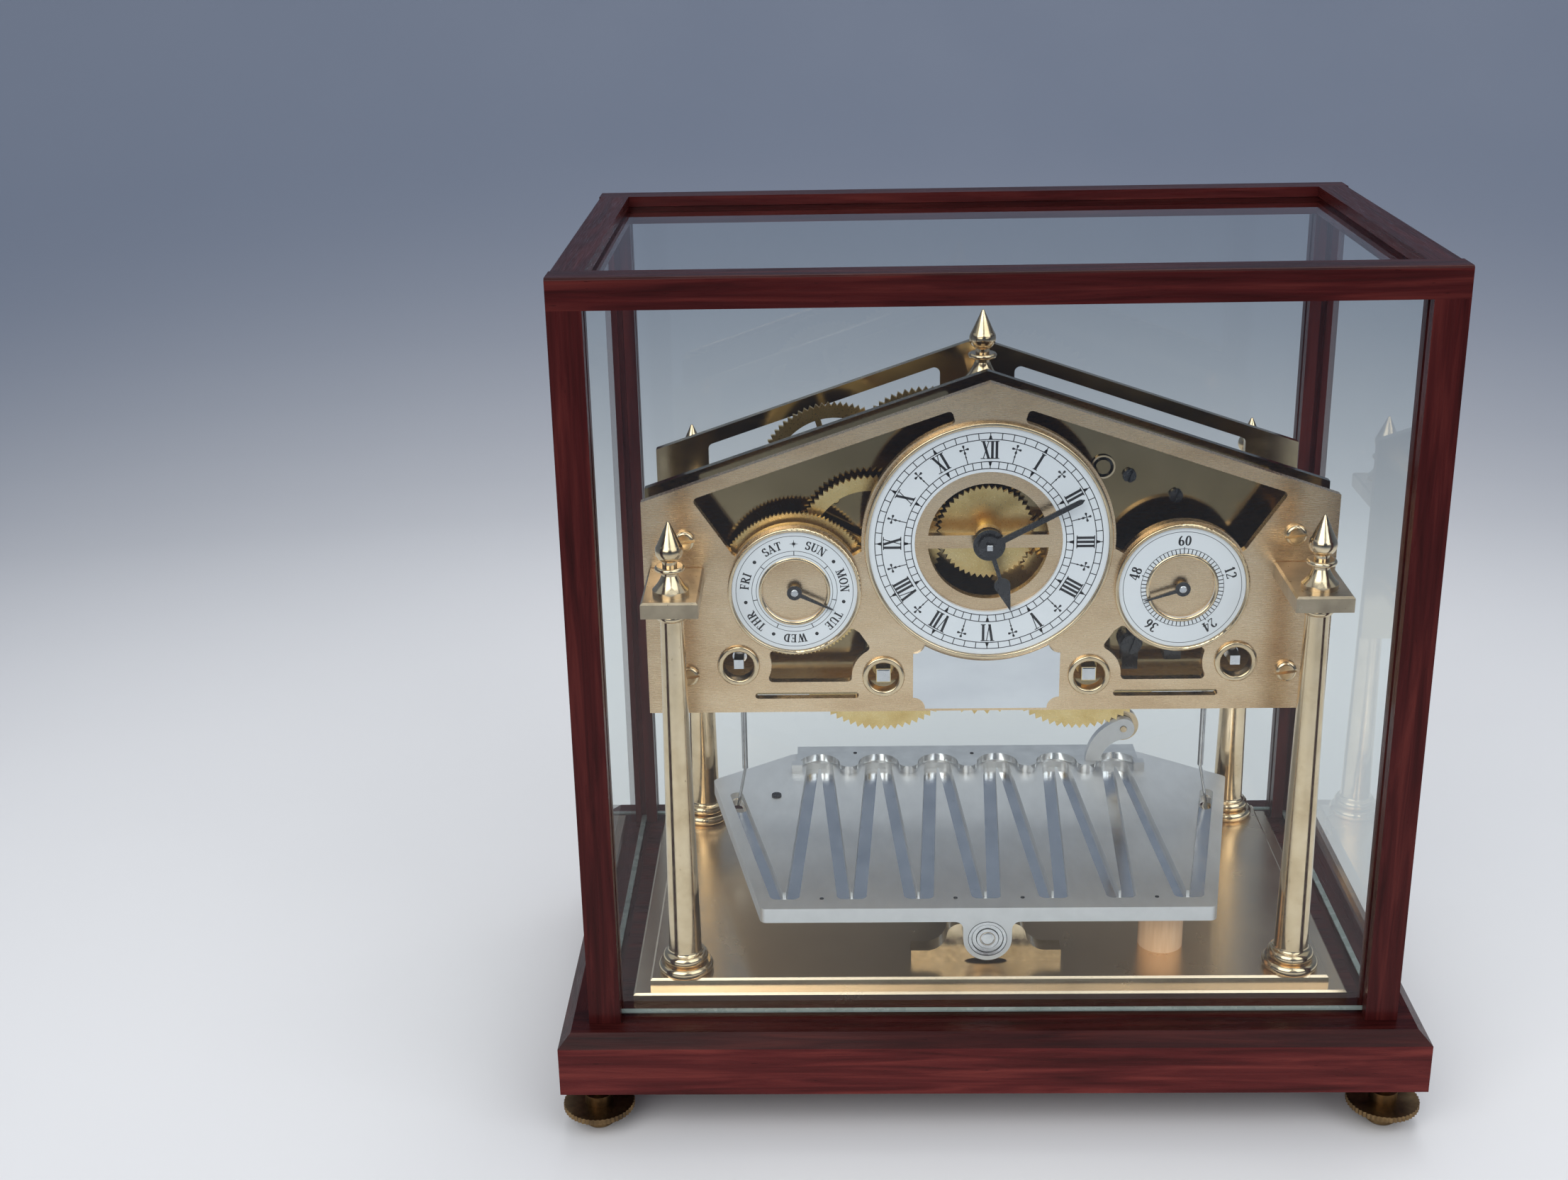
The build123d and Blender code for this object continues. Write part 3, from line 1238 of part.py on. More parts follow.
with BuildPart() as day_wheel:
    add_rod(day_place, side_hand_back, middle_back - ARBOR_SINK, ARBOR_RADIUS)
    add_wheel(day_place, day_layer, WHEEL_THICK, DAY_TEETH, day_module, day_turn, CROSSINGS)
day_wheel.part.label = "day_wheel"
export_step(day_wheel.part, "parts/day_wheel.step")

# Spring barrels with their great wheels and squared winding arbors
great_wheels = {
    "great_wheel_left": (winding_left, great_left_turn),
    "great_wheel_right": (winding_right, great_right_turn),
}
for wheel_name, (place, turn) in great_wheels.items():
    with BuildPart() as great_wheel:
        add_square(
            place,
            front_face + SQUARE_SINK,
            front_face + SQUARE_SINK + SQUARE_LENGTH,
            WINDING_SQUARE,
        )
        add_rod(place, front_face + SQUARE_SINK + SQUARE_LENGTH, rear_pivot, WINDING_ARBOR_RADIUS)
        add_wheel(place, great_layer, GREAT_WHEEL_THICK, GREAT_TEETH, great_module, turn)
        add_rod(place, great_layer, great_layer + BARREL_LENGTH, BARREL_RADIUS)
    great_wheel.part.label = wheel_name
    export_step(great_wheel.part, f"parts/{wheel_name}.step")

with BuildPart() as second_wheel:
    add_rod(second_place, middle_pivot, rear_pivot, ARBOR_RADIUS)
    add_wheel(second_place, second_layer, WHEEL_THICK, SECOND_TEETH, second_module, second_turn)
    add_pinion(
        second_place,
        great_layer,
        GREAT_WHEEL_THICK,
        SECOND_PINION_TEETH,
        great_module,
        second_pinion_turn,
    )
second_wheel.part.label = "second_wheel"
export_step(second_wheel.part, "parts/second_wheel.step")

with BuildPart() as third_wheel:
    add_rod(third_place, middle_pivot, rear_pivot, ARBOR_RADIUS)
    add_pinion(
        third_place,
        centre_layer,
        WHEEL_THICK,
        THIRD_PINION_TEETH,
        centre_module,
        third_pinion_turn,
    )
    add_wheel(third_place, third_layer, WHEEL_THICK, THIRD_TEETH, third_module, third_turn)
third_wheel.part.label = "third_wheel"
export_step(third_wheel.part, "parts/third_wheel.step")

with BuildPart() as seconds_wheel:
    add_rod(seconds_place, side_hand_back, rear_pivot, ARBOR_RADIUS)
    add_pinion(
        seconds_place,
        third_layer,
        WHEEL_THICK,
        SECONDS_PINION_TEETH,
        third_module,
        seconds_pinion_turn,
    )
    add_wheel(
        seconds_place,
        seconds_layer,
        WHEEL_THICK,
        SECONDS_TEETH,
        seconds_module,
        seconds_turn,
        CROSSINGS,
    )
seconds_wheel.part.label = "seconds_wheel"
export_step(seconds_wheel.part, "parts/seconds_wheel.step")

with BuildPart() as release_wheel:
    add_rod(release_place, middle_pivot, rear_pivot, ARBOR_RADIUS)
    add_pinion(
        release_place,
        centre_layer,
        WHEEL_THICK,
        RELEASE_PINION_TEETH,
        centre_module,
        release_pinion_turn,
    )
    add_wheel(
        release_place, release_layer, WHEEL_THICK, RELEASE_TEETH, release_module, release_turn
    )
release_wheel.part.label = "release_wheel"
export_step(release_wheel.part, "parts/release_wheel.step")

with BuildPart() as locking_wheel:
    add_rod(locking_place, middle_pivot, rear_pivot, ARBOR_RADIUS)
    add_pinion(
        locking_place,
        release_layer,
        WHEEL_THICK,
        LOCKING_PINION_TEETH,
        release_module,
        locking_pinion_turn,
    )
    add_wheel(
        locking_place,
        third_layer,
        WHEEL_THICK,
        LOCKING_TEETH,
        locking_module,
        locking_pinion_turn,
        CROSSINGS,
    )
locking_wheel.part.label = "locking_wheel"
export_step(locking_wheel.part, "parts/locking_wheel.step")

# Setting arbors behind the outer pair of holes
setting_arbors = {"setting_arbor_left": setting_left, "setting_arbor_right": setting_right}
for arbor_name, place in setting_arbors.items():
    with BuildPart() as setting_arbor:
        add_square(
            place,
            front_face + SQUARE_SINK,
            front_face + SQUARE_SINK + SQUARE_LENGTH,
            SETTING_SQUARE,
        )
        add_rod(
            place,
            front_face + SQUARE_SINK + SQUARE_LENGTH,
            middle_back - ARBOR_SINK,
            SETTING_ARBOR_RADIUS,
        )
    setting_arbor.part.label = arbor_name
    export_step(setting_arbor.part, f"parts/{arbor_name}.step")


def hand_plane(place, back, angle):
    """Plane of a hand at depth back, with local y along the hand at an angle clockwise from upright."""
    turn = math.radians(angle)
    return Plane(
        origin=(place[0], back, place[1]),
        x_dir=(math.cos(turn), 0, -math.sin(turn)),
        z_dir=(0, -1, 0),
    )


def draw_blade(length, root_width, tip_width):
    """Straight tapering blade that ends in a short point."""
    Polyline(
        (-root_width / 2, 0),
        (root_width / 2, 0),
        (tip_width / 2, length - HAND_POINT),
        (0, length),
        (-tip_width / 2, length - HAND_POINT),
        close=True,
    )


with BuildPart() as minute_hand:
    with BuildSketch(hand_plane(centre, minute_hand_back, MINUTE_ANGLE)):
        with BuildLine():
            draw_blade(MINUTE_HAND_LENGTH, MINUTE_ROOT_WIDTH, MINUTE_TIP_WIDTH)
        make_face()
        Circle(MINUTE_HUB_RADIUS)
    extrude(amount=HAND_THICK)
    add_square(centre, arbor_front, minute_hand_back - HAND_THICK, MINUTE_SQUARE)
minute_hand.part.label = "minute_hand"
export_step(minute_hand.part, "parts/minute_hand.step")

# Hour hand with a spade near its tip
spade_place = HOUR_HAND_LENGTH * SPADE_PLACE_SHARE
with BuildPart() as hour_hand:
    with BuildSketch(hand_plane(centre, hour_hand_back, HOUR_ANGLE)):
        with BuildLine():
            draw_blade(HOUR_HAND_LENGTH, HOUR_ROOT_WIDTH, HOUR_TIP_WIDTH)
        make_face()
        Circle(HOUR_HUB_RADIUS)
        with Locations((0, spade_place)):
            Circle(SPADE_RADIUS)
        with BuildLine():
            Polyline(
                (-SPADE_RADIUS, spade_place),
                (SPADE_RADIUS, spade_place),
                (0, HOUR_HAND_LENGTH),
                close=True,
            )
        make_face()
        Circle(ARBOR_RADIUS + PIVOT_FIT, mode=Mode.SUBTRACT)
    extrude(amount=HAND_THICK)
hour_hand.part.label = "hour_hand"
export_step(hour_hand.part, "parts/hour_hand.step")

side_hands = {
    "day_hand": (day_place, DAY_ANGLE, DAY_HAND_LENGTH),
    "seconds_hand": (seconds_place, SECONDS_ANGLE, SECONDS_HAND_LENGTH),
}
for hand_name, (place, angle, length) in side_hands.items():
    with BuildPart() as side_hand:
        with BuildSketch(hand_plane(place, side_hand_back, angle)):
            with BuildLine():
                draw_blade(length, SIDE_HAND_ROOT_WIDTH, SIDE_HAND_TIP_WIDTH)
            make_face()
            Circle(SIDE_HUB_RADIUS)
        extrude(amount=HAND_THICK)
    side_hand.part.label = hand_name
    export_step(side_hand.part, f"parts/{hand_name}.step")

# Course of the track: turns at the front and back between two ends at the sides
first_turn = -TRACK_PITCH * (TRACK_FRONT_TURNS - 1) / 2
track_course = [(-TRACK_END_OUT, TRACK_END_PLACE)]
front_turns = [first_turn + n * TRACK_PITCH for n in range(TRACK_FRONT_TURNS)]
back_turns = [x + TRACK_PITCH / 2 for x in front_turns[:-1]]
for n, front_x in enumerate(front_turns):
    track_course.append((front_x - TRACK_TURN / 2, -TRACK_FRONT))
    track_course.append((front_x + TRACK_TURN / 2, -TRACK_FRONT))
    for back_x in back_turns[n : n + 1]:
        track_course.append((back_x - TRACK_TURN / 2, TRACK_BACK))
        track_course.append((back_x + TRACK_TURN / 2, TRACK_BACK))
track_course.append((TRACK_END_OUT, TRACK_END_PLACE))


def draw_track(width):
    """Zig-zag band of the given width with round turns."""
    for start, end in zip(track_course, track_course[1:]):
        length = math.dist(start, end)
        angle = math.degrees(math.atan2(end[1] - start[1], end[0] - start[0]))
        with Locations(((start[0] + end[0]) / 2, (start[1] + end[1]) / 2)):
            SlotCenterToCenter(length, width, rotation=angle)


end_rise = TRACK_END_PLACE + TRACK_FRONT
end_run = TRACK_END_OUT + first_turn - TRACK_TURN / 2


def on_end_run(side, depth):
    """Point on the middle of the first or last run of the track, at a depth."""
    return side * (TRACK_END_OUT - (TRACK_END_PLACE - depth) * end_run / end_rise), depth


def trip_slots(z, height, grow):
    """Upright slots at the two ends of the track, where the trip wires hang."""
    slot_back = (TRIP_SLOT_LENGTH - TRIP_SLOT_WIDTH) / 2
    slot_depth = TRACK_END_PLACE - slot_back * end_rise / math.hypot(end_rise, end_run)
    for side in (-1, 1):
        angle = math.degrees(math.atan2(end_rise, side * end_run))
        with BuildSketch(Plane.XY.offset(z)) as slot:
            with Locations(on_end_run(side, slot_depth)):
                SlotOverall(TRIP_SLOT_LENGTH + 2 * grow, TRIP_SLOT_WIDTH + 2 * grow, rotation=angle)
        extrude(slot.sketch, amount=height, mode=Mode.SUBTRACT)


# Tray with the track cut into its top and a lug for each pivot bearing
lug_faces = (-TRAY_FRONT + LUG_THICK, TRAY_FRONT)
neck_half = LUG_RADIUS + LUG_FILLET
with BuildPart() as tray:
    with BuildSketch(Plane.XY.offset(tray_low)):
        with BuildLine():
            Polyline(
                (-TRAY_FRONT_HALF, -TRAY_FRONT),
                (TRAY_FRONT_HALF, -TRAY_FRONT),
                (TRAY_CORNER_HALF, TRAY_CORNER_PLACE),
                (TRAY_BACK_HALF, TRAY_BACK),
                (-TRAY_BACK_HALF, TRAY_BACK),
                (-TRAY_CORNER_HALF, TRAY_CORNER_PLACE),
                close=True,
            )
        make_face()
    extrude(amount=TRAY_THICK)
    fillet(tray.edges().filter_by(Axis.Z), radius=TRAY_CORNER_ROUND)
    for lug_back in lug_faces:
        with BuildSketch(front_view(lug_back)):
            with Locations((0, tray_low - LUG_FILLET / 2)):
                Rectangle(2 * neck_half, LUG_FILLET)
            with Locations((-neck_half, tray_low - LUG_FILLET), (neck_half, tray_low - LUG_FILLET)):
                Circle(LUG_FILLET, mode=Mode.SUBTRACT)
            with Locations((0, (pivot_z + tray_low) / 2)):
                Rectangle(2 * LUG_RADIUS, tray_low - pivot_z)
            with Locations((0, pivot_z)):
                Circle(LUG_RADIUS)
        extrude(amount=LUG_THICK)
        with BuildSketch(front_view(lug_back)):
            with Locations((0, pivot_z)):
                Circle(BEARING_RADIUS)
        extrude(amount=LUG_THICK, mode=Mode.SUBTRACT)
    with BuildSketch(Plane.XY.offset(tray_top - TRACK_DEPTH)):
        draw_track(TRACK_WIDTH)
    extrude(amount=TRACK_DEPTH + CUT_OVERRUN, mode=Mode.SUBTRACT)
    trip_slots(tray_low - CUT_OVERRUN, TRAY_THICK + 2 * CUT_OVERRUN, 0)
tray.part.label = "tray"
export_step(tray.part, "parts/tray.step")

# Polished strip on the floor of the track
floor_z = tray_top - TRACK_DEPTH
with BuildPart() as track_floor:
    with BuildSketch(Plane.XY.offset(floor_z)):
        draw_track(TRACK_WIDTH - 2 * SEAT_FIT)
    extrude(amount=FLOOR_THICK)
    trip_slots(floor_z - CUT_OVERRUN, FLOOR_THICK + 2 * CUT_OVERRUN, SEAT_FIT)
track_floor.part.label = "track_floor"
export_step(track_floor.part, "parts/track_floor.step")

# Guard whose wavy front edge leaves each back turn open
trough_radius = TRACK_PITCH / 2 - GUARD_CREST_RADIUS
guard_depth = TRAY_BACK - GUARD_WAVE_PLACE
inner_troughs = [(x, GUARD_WAVE_PLACE) for x in front_turns[1:-1]]
with BuildPart() as track_guard:
    with BuildSketch(Plane.XY.offset(tray_top)):
        with Locations((0, GUARD_WAVE_PLACE + guard_depth / 2)):
            Rectangle(2 * GUARD_HALF_WIDTH, guard_depth)
        with Locations(*inner_troughs):
            Circle(trough_radius)
        with Locations(*[(x, GUARD_WAVE_PLACE) for x in back_turns]):
            Circle(GUARD_CREST_RADIUS, mode=Mode.SUBTRACT)
        with Locations((-GUARD_HALF_WIDTH, GUARD_WAVE_PLACE), (GUARD_HALF_WIDTH, GUARD_WAVE_PLACE)):
            Rectangle(GUARD_TAB, GUARD_TAB)
    extrude(amount=GUARD_THICK)
track_guard.part.label = "track_guard"
export_step(track_guard.part, "parts/track_guard.step")

# Ball bearings in the two lugs, with the shields sunk between the races
race_inner = BEARING_BORE + BEARING_RACE
race_outer = BEARING_RADIUS - BEARING_RACE
with BuildPart() as tray_bearings:
    for lug_back in lug_faces:
        with BuildSketch(front_view(lug_back)):
            with Locations((0, pivot_z)):
                Circle(BEARING_RADIUS - SEAT_FIT)
                Circle(BEARING_BORE, mode=Mode.SUBTRACT)
        extrude(amount=LUG_THICK)
        for shield_back in (lug_back + CUT_OVERRUN, lug_back - LUG_THICK + BEARING_SHIELD_SINK):
            with BuildSketch(front_view(shield_back)):
                with Locations((0, pivot_z)):
                    Circle(race_outer)
                    Circle(race_inner, mode=Mode.SUBTRACT)
            extrude(amount=BEARING_SHIELD_SINK + CUT_OVERRUN, mode=Mode.SUBTRACT)
tray_bearings.part.label = "tray_bearings"
export_step(tray_bearings.part, "parts/tray_bearings.step")

# Ogee brackets on the bed, each with the pin that its bearing turns on
bracket_inner = TRAY_FRONT - LUG_THICK - TRAY_BRACKET_GAP
pin_radius = BEARING_BORE - PIVOT_FIT
foot_z = bed_top + TRAY_BRACKET_FOOT
waist_z = bed_top + TRAY_BRACKET_WAIST_LIFT
bracket_top = bed_top + TRAY_BRACKET_HEIGHT
with BuildPart() as tray_brackets:
    for side in (-1, 1):
        inner = side * (bracket_inner - TRAY_BRACKET_THICK)
        outer = side * bracket_inner
        pin_end = side * TRAY_FRONT
        with BuildSketch(front_view(max(inner, outer))):
            with BuildLine():
                Polyline(
                    (0, bed_top),
                    (TRAY_BRACKET_HALF, bed_top),
                    (TRAY_BRACKET_HALF, foot_z),
                    (TRAY_BRACKET_SHOULDER, foot_z),
                )
                SagittaArc(
                    (TRAY_BRACKET_SHOULDER, foot_z),
                    (TRAY_BRACKET_WAIST, waist_z),
                    (TRAY_BRACKET_SHOULDER - TRAY_BRACKET_WAIST) / 4,
                )
                SagittaArc(
                    (TRAY_BRACKET_WAIST, waist_z),
                    (TRAY_BRACKET_TOP_HALF, bracket_top),
                    (TRAY_BRACKET_TOP_HALF - TRAY_BRACKET_WAIST) / 4,
                )
                Polyline((TRAY_BRACKET_TOP_HALF, bracket_top), (0, bracket_top), (0, bed_top))
            make_face()
            mirror(about=Plane.YZ)
            with Locations((0, bed_top)):
                Ellipse(TRAY_BRACKET_NOTCH, TRAY_BRACKET_NOTCH_RISE, mode=Mode.SUBTRACT)
        extrude(amount=TRAY_BRACKET_THICK)
        add_rod((0, pivot_z), min(inner, pin_end), max(inner, pin_end), pin_radius)
tray_brackets.part.label = "tray_brackets"
export_step(tray_brackets.part, "parts/tray_brackets.step")

# Wooden peg that the tray comes down towards
with BuildPart() as rest_peg:
    with BuildSketch(Plane.XY.offset(bed_top)):
        with Locations((PEG_OUT, -PEG_PLACE)):
            Circle(PEG_RADIUS)
    extrude(amount=tray_low - PEG_GAP - bed_top)
rest_peg.part.label = "rest_peg"
export_step(rest_peg.part, "parts/rest_peg.step")

# Curved arm on the guard, with the eye that the connecting rod hangs on
arm_eye = (ARM_EYE_OUT, guard_top + ARM_EYE_LIFT)
arm_back = ARM_PLACE + ARM_THICK
eye_left = (ARM_EYE_OUT, arm_eye[1] + ARM_EYE_RADIUS)
eye_right = (ARM_EYE_OUT, arm_eye[1] - ARM_EYE_RADIUS)
arm_run = ARM_EYE_OUT - ARM_FOOT_IN
foot_right = (ARM_FOOT_IN + ARM_FOOT_WIDTH, guard_top)
with BuildPart() as tilt_arm:
    with BuildSketch(front_view(arm_back)):
        with BuildLine():
            Line((ARM_FOOT_IN, guard_top), foot_right)
            SagittaArc(foot_right, eye_right, arm_run * ARM_BEND_SHARE / 2)
            Line(eye_right, eye_left)
            SagittaArc(eye_left, (ARM_FOOT_IN, guard_top), -arm_run * ARM_BEND_SHARE)
        make_face()
        with Locations(arm_eye):
            Circle(ARM_EYE_RADIUS)
            Circle(ARM_PIN_RADIUS + PIVOT_FIT, mode=Mode.SUBTRACT)
    extrude(amount=ARM_THICK)
tilt_arm.part.label = "tilt_arm"
export_step(tilt_arm.part, "parts/tilt_arm.step")

# Connecting rod from the arm up to the crank pin, bored for that pin
rod_face = arm_back + SIDE_PLAY
rod_back = rod_face + ROD_THICK
rod_top = (ARM_EYE_OUT, crank_place[1])
with BuildPart() as connecting_rod:
    with BuildSketch(front_view(rod_back)):
        with Locations(arm_eye):
            Circle(ROD_END_RADIUS)
        with Locations(rod_top):
            Circle(ROD_TOP_RADIUS)
        with Locations((ARM_EYE_OUT, (arm_eye[1] + rod_top[1]) / 2)):
            Rectangle(ROD_WIDTH, rod_top[1] - arm_eye[1])
        with Locations(rod_top):
            Circle(CRANK_PIN_RADIUS + PIVOT_FIT, mode=Mode.SUBTRACT)
    extrude(amount=ROD_THICK)
    add_rod(arm_eye, ARM_PLACE - SIDE_PLAY, rod_face, ARM_PIN_RADIUS)
connecting_rod.part.label = "connecting_rod"
export_step(connecting_rod.part, "parts/connecting_rod.step")

# Crank with its pinion, long arbor, disc and a pin that stops short of the rod
crank_face = rear_back + CRANK_DISC_GAP
with BuildPart() as crank:
    add_rod(crank_place, seconds_layer - WHEEL_THICK, crank_face, CRANK_ARBOR_RADIUS)
    add_pinion(
        crank_place, seconds_layer, WHEEL_THICK, CRANK_PINION_TEETH, seconds_module, crank_turn
    )
    add_rod(crank_place, crank_face, crank_face + CRANK_DISC_THICK, CRANK_DISC_RADIUS)
    add_rod(rod_top, crank_face + CRANK_DISC_THICK, rod_face - SIDE_PLAY, CRANK_PIN_RADIUS)
crank.part.label = "crank"
export_step(crank.part, "parts/crank.step")

# Trip rods: an eye on the pin, a straight rod and a thin wire that leans out into the tray slot
joint_z = tray_top + TRIP_JOINT_LIFT
for side, rod_name in ((-1, "trip_rod_left"), (1, "trip_rod_right")):
    rod_x = side * TRIP_OUT
    tip_x = on_end_run(side, trip_y)[0]
    with BuildPart() as trip_rod:
        with BuildSketch(Plane.YZ.offset(rod_x - TRIP_EYE_THICK / 2)):
            with Locations((trip_y, trip_z)):
                Circle(TRIP_EYE_RADIUS)
        extrude(amount=TRIP_EYE_THICK)
        with BuildSketch(Plane(origin=(rod_x, trip_y, joint_z))):
            Circle(TRIP_ROD_RADIUS)
        extrude(amount=trip_z - joint_z)
        wire_start = Vector(rod_x, trip_y, joint_z)
        wire_end = Vector(tip_x, trip_y, tray_top - TRIP_TIP_SINK)
        with BuildSketch(Plane(origin=wire_start, z_dir=wire_end - wire_start)):
            Circle(TRIP_WIRE_RADIUS)
        extrude(amount=(wire_end - wire_start).length)
        with BuildSketch(Plane.YZ.offset(rod_x - TRIP_EYE_THICK)):
            with Locations((trip_y, trip_z)):
                Circle(TRIP_PIN_RADIUS + PIVOT_FIT)
        extrude(amount=2 * TRIP_EYE_THICK, mode=Mode.SUBTRACT)
    trip_rod.part.label = rod_name
    export_step(trip_rod.part, f"parts/{rod_name}.step")
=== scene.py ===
import json
import math

import bmesh
import bpy
from mathutils import Matrix, Vector


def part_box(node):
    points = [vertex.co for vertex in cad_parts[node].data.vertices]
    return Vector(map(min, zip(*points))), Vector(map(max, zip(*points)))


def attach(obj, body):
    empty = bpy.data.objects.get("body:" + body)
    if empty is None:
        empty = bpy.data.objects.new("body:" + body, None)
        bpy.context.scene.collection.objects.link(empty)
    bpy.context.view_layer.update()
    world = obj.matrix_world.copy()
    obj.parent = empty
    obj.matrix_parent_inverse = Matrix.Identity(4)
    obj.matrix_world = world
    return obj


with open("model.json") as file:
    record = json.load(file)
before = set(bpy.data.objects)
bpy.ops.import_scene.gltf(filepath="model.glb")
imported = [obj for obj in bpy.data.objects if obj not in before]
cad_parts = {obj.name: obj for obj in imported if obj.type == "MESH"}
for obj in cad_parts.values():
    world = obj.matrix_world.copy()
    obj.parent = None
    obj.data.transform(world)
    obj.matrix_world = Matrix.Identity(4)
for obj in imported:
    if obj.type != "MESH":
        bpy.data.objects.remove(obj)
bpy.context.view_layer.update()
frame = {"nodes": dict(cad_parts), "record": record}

MM = 0.001

# Camera, fitted to the photograph: pixels, sensor in millimetres, place in metres, turns in degrees
PHOTO_WIDTH = 2212
FOCAL_PIXELS = 2767.5
PRINCIPAL_X = 1111.8
SENSOR_WIDTH = 36.0
CAMERA_PLACE = (-0.0608, -0.7904, 0.4953)
CAMERA_NEAR = 0.01
CAMERA_YAW = -1.56
CAMERA_PITCH = 20.32
CAMERA_ROLL = -1.11

# Surroundings, and soft square lamps by their place and side in metres, their watts and their colour
WORLD_COLOUR = (0.82, 0.86, 0.92, 1.0)
WORLD_STRENGTH = 0.57
LAMP_TARGET = (0.0, 0.0, 0.2)
LAMPS = {
    "key": ((-0.9, -1.6, 1.45), 1.8, 28.0, (1.0, 0.985, 0.96)),
    "fill": ((1.3, -1.3, 1.45), 1.8, 18.0, (0.97, 0.98, 1.0)),
    "top": ((0.2, 0.5, 2.2), 1.2, 16.0, (1.0, 1.0, 1.0)),
}

# Backdrop in metres: round floor, bend and wall, then the painted shade that darkens the paint away from
# the object
FLOOR_MIDDLE = -1.6
FLOOR_START = 0.4
FLOOR_RADIUS = 2.35
BEND_RADIUS = 0.9
BEND_STEPS = 16
WALL_TOP = 1.4
WALL_RISE = 1.0
WALL_SIDES = 96
PAINTED_SHADE_FAR = (0.15, 0.18, 0.245)
PAINTED_SHADE_FADE = (0.3, 1.3)
PAINTED_SHADE_SHIFT = (0.0, -0.1, 0.0)
PAINTED_SHADE_STRETCH = (0.8, 1.0, 1.0)

# Shading: the part of a noise, of a face's upward tilt and of the flecks' noise that is laid out
NOISE_REACH = (0.3, 0.7)
NOISE_ROUGHNESS = 0.55
UPWARD_REACH = (0.1, 0.5)
FLECK_REACH = (0.68, 0.76)
FLECK_STRENGTH = 0.8
FLECK_DETAIL = 3.0
FINE_DETAIL = 6.0
FINE_SHARE = 3
COAT_ROUGHNESS = 0.06
RELIEF_DEPTH = 0.0002

# Sockets of the colour mix node by number, since their names repeat
MIX_FACTOR, MIX_FIRST, MIX_SECOND, MIX_RESULT = 0, 6, 7, 2

# Clear glass
GLASS_TINT = (0.97, 0.985, 0.98, 1.0)
GLASS_GLOSS = (1.0, 1.0, 1.0, 1.0)
GLASS_ROUGHNESS = (0.01, 0.03)
GLASS_WAVES = (9, 9, 9)
GLASS_IOR = 1.45

# Mahogany: colours along its grain, its pores, and its painted light and painted shade: light scales the
# colours up, painting the plinth brighter than the cover as light reflected from the floor, and shade is
# painted shade on faces that look up
WOOD_STOPS = [
    (0.25, (0.018, 0.003, 0.003)), (0.5, (0.05, 0.0075, 0.0075)), (0.75, (0.098, 0.018, 0.015)),
]
WOOD_PORE = (0.008, 0.0015, 0.0015)
COVER_PAINTED_SHADING = {"light": 1.0, "shade": 0.55}
PLINTH_PAINTED_SHADING = {"light": 1.7, "shade": 0.36}

# Print on the dials, in millimetres and degrees
PRINT_THICK = 0.03
LINE_WIDTH = 0.34
SIDE_LINE_WIDTH = 0.2
MINUTE_TURN = 6
HOUR_TURN = 30

# Main dial: tracks from the foot of their buds to the tip, numerals, crosses on their stems
MAIN_TRACKS = [(43.2, 45.9), (34.1, 31.2)]
BUD = [(-1, 0), (-0.55, 0.12), (-0.34, 0.5), (0, 0.72), (0.34, 0.5), (0.55, 0.12), (1, 0)]
BUD_WIDTH = 2.3
HOURS = ["XII", "I", "II", "III", "IIII", "V", "VI", "VII", "VIII", "IX", "X", "XI"]
NUMERAL_LOW = 35.2
NUMERAL_HIGH = 42.6
NUMERAL_STROKE = 1.05
NUMERAL_HAIRLINE = 0.36
NUMERAL_SERIF = 0.45
NUMERAL_PITCH = 1.75
NUMERAL_WIDE = 3.3
STEM_START = MAIN_TRACKS[1][0]
STEM_END = 38.5
ARROW = 0.8
CROSS_PLACE = 40.3
CROSS_REACH = 1.9
HALF_PETAL = [(0.05, 0), (0.1, 0.35), (0.25, 0.72), (0.24, 0.94)]
PETAL = [*HALF_PETAL, (0, 1.04), *[(-u, v) for u, v in reversed(HALF_PETAL)]]

# Day dial and seconds dial
SIDE_RING = 23.9
DAYS = ["SUN", "MON", "TUE", "WED", "THR", "FRI", "SAT"]
DAY_BOX = (15.6, 17.4)
DAY_NAME_PLACE = 20.5
DAY_NAME_HEIGHT = 3.6
DAY_DOT_RADIUS = 0.75
STAR_REACH = 1.9
STAR_SHARES = (1.0, 0.26, 0.5, 0.26)
STAR_POINTS = 16
SECONDS_TRACK = (14.6, 16.7)
SECONDS_TICK = 0.36
SECONDS_NUMBERS = (60, 12, 24, 36, 48)
SECONDS_NUMBER_PLACE = 20.2
SECONDS_NUMBER_HEIGHT = 4.2

# Letters, as shares of their height
THICK = 0.19
THIN = 0.085
SERIF = 0.17
LETTER_GAP = 0.09
BOW_STEPS = 14

# Small screws on the tray and the guard, in millimetres: radius and height, then places
TRAY_SCREW = (0.9, 0.2)
TRAY_SCREW_PLACES = [(-69.0, -64.0), (-13.0, -64.0), (15.0, -64.0), (71.0, -64.0)]
SIDE_SCREW = (2.3, 1.2)
SIDE_SCREW_PLACE = (-90.4, 32.5)
GUARD_SCREW = (0.9, 0.3)
GUARD_SCREW_PLACES = [(-53.4, 70.7), (2.7, 69.4)]
SLOT_SHARE = 0.24
LAND_STEPS = 12
LAND_TAPER = 0.94

# Bright ends of arbors, squares and pins, in millimetres, and their stepped and bevelled top
WINDING_END = 5.5
MINUTE_END = 2.3
SIDE_END_RADIUS = 1.5
BEARING_END_RADIUS = 2.9
END_STEP = 0.12
END_SHRINK = 0.96
END_TAPER = 0.84

# Rounded brass rim inside each side dial: radius, half width and height, in millimetres
SIDE_RIM = (13.9, 0.75, 0.6)
SIDE_RIM_STEPS = 6

# Ground lower edges of the upright panes, inside the glass, in millimetres
PANE_THICK = 2.5
PANE_EDGE_HEIGHT = 0.8
PANE_EDGE_INSET = 0.1
PANE_EDGE_BEVEL = 0.3

# Painted shade: black rings at the gaps round the tray's bearings: radius, width and level, in millimetres
BEARING_SHADE_RINGS = [(4.65, 0.34, -0.5), (6.55, 0.34, -0.5), (8.0, 0.24, 0.0)]
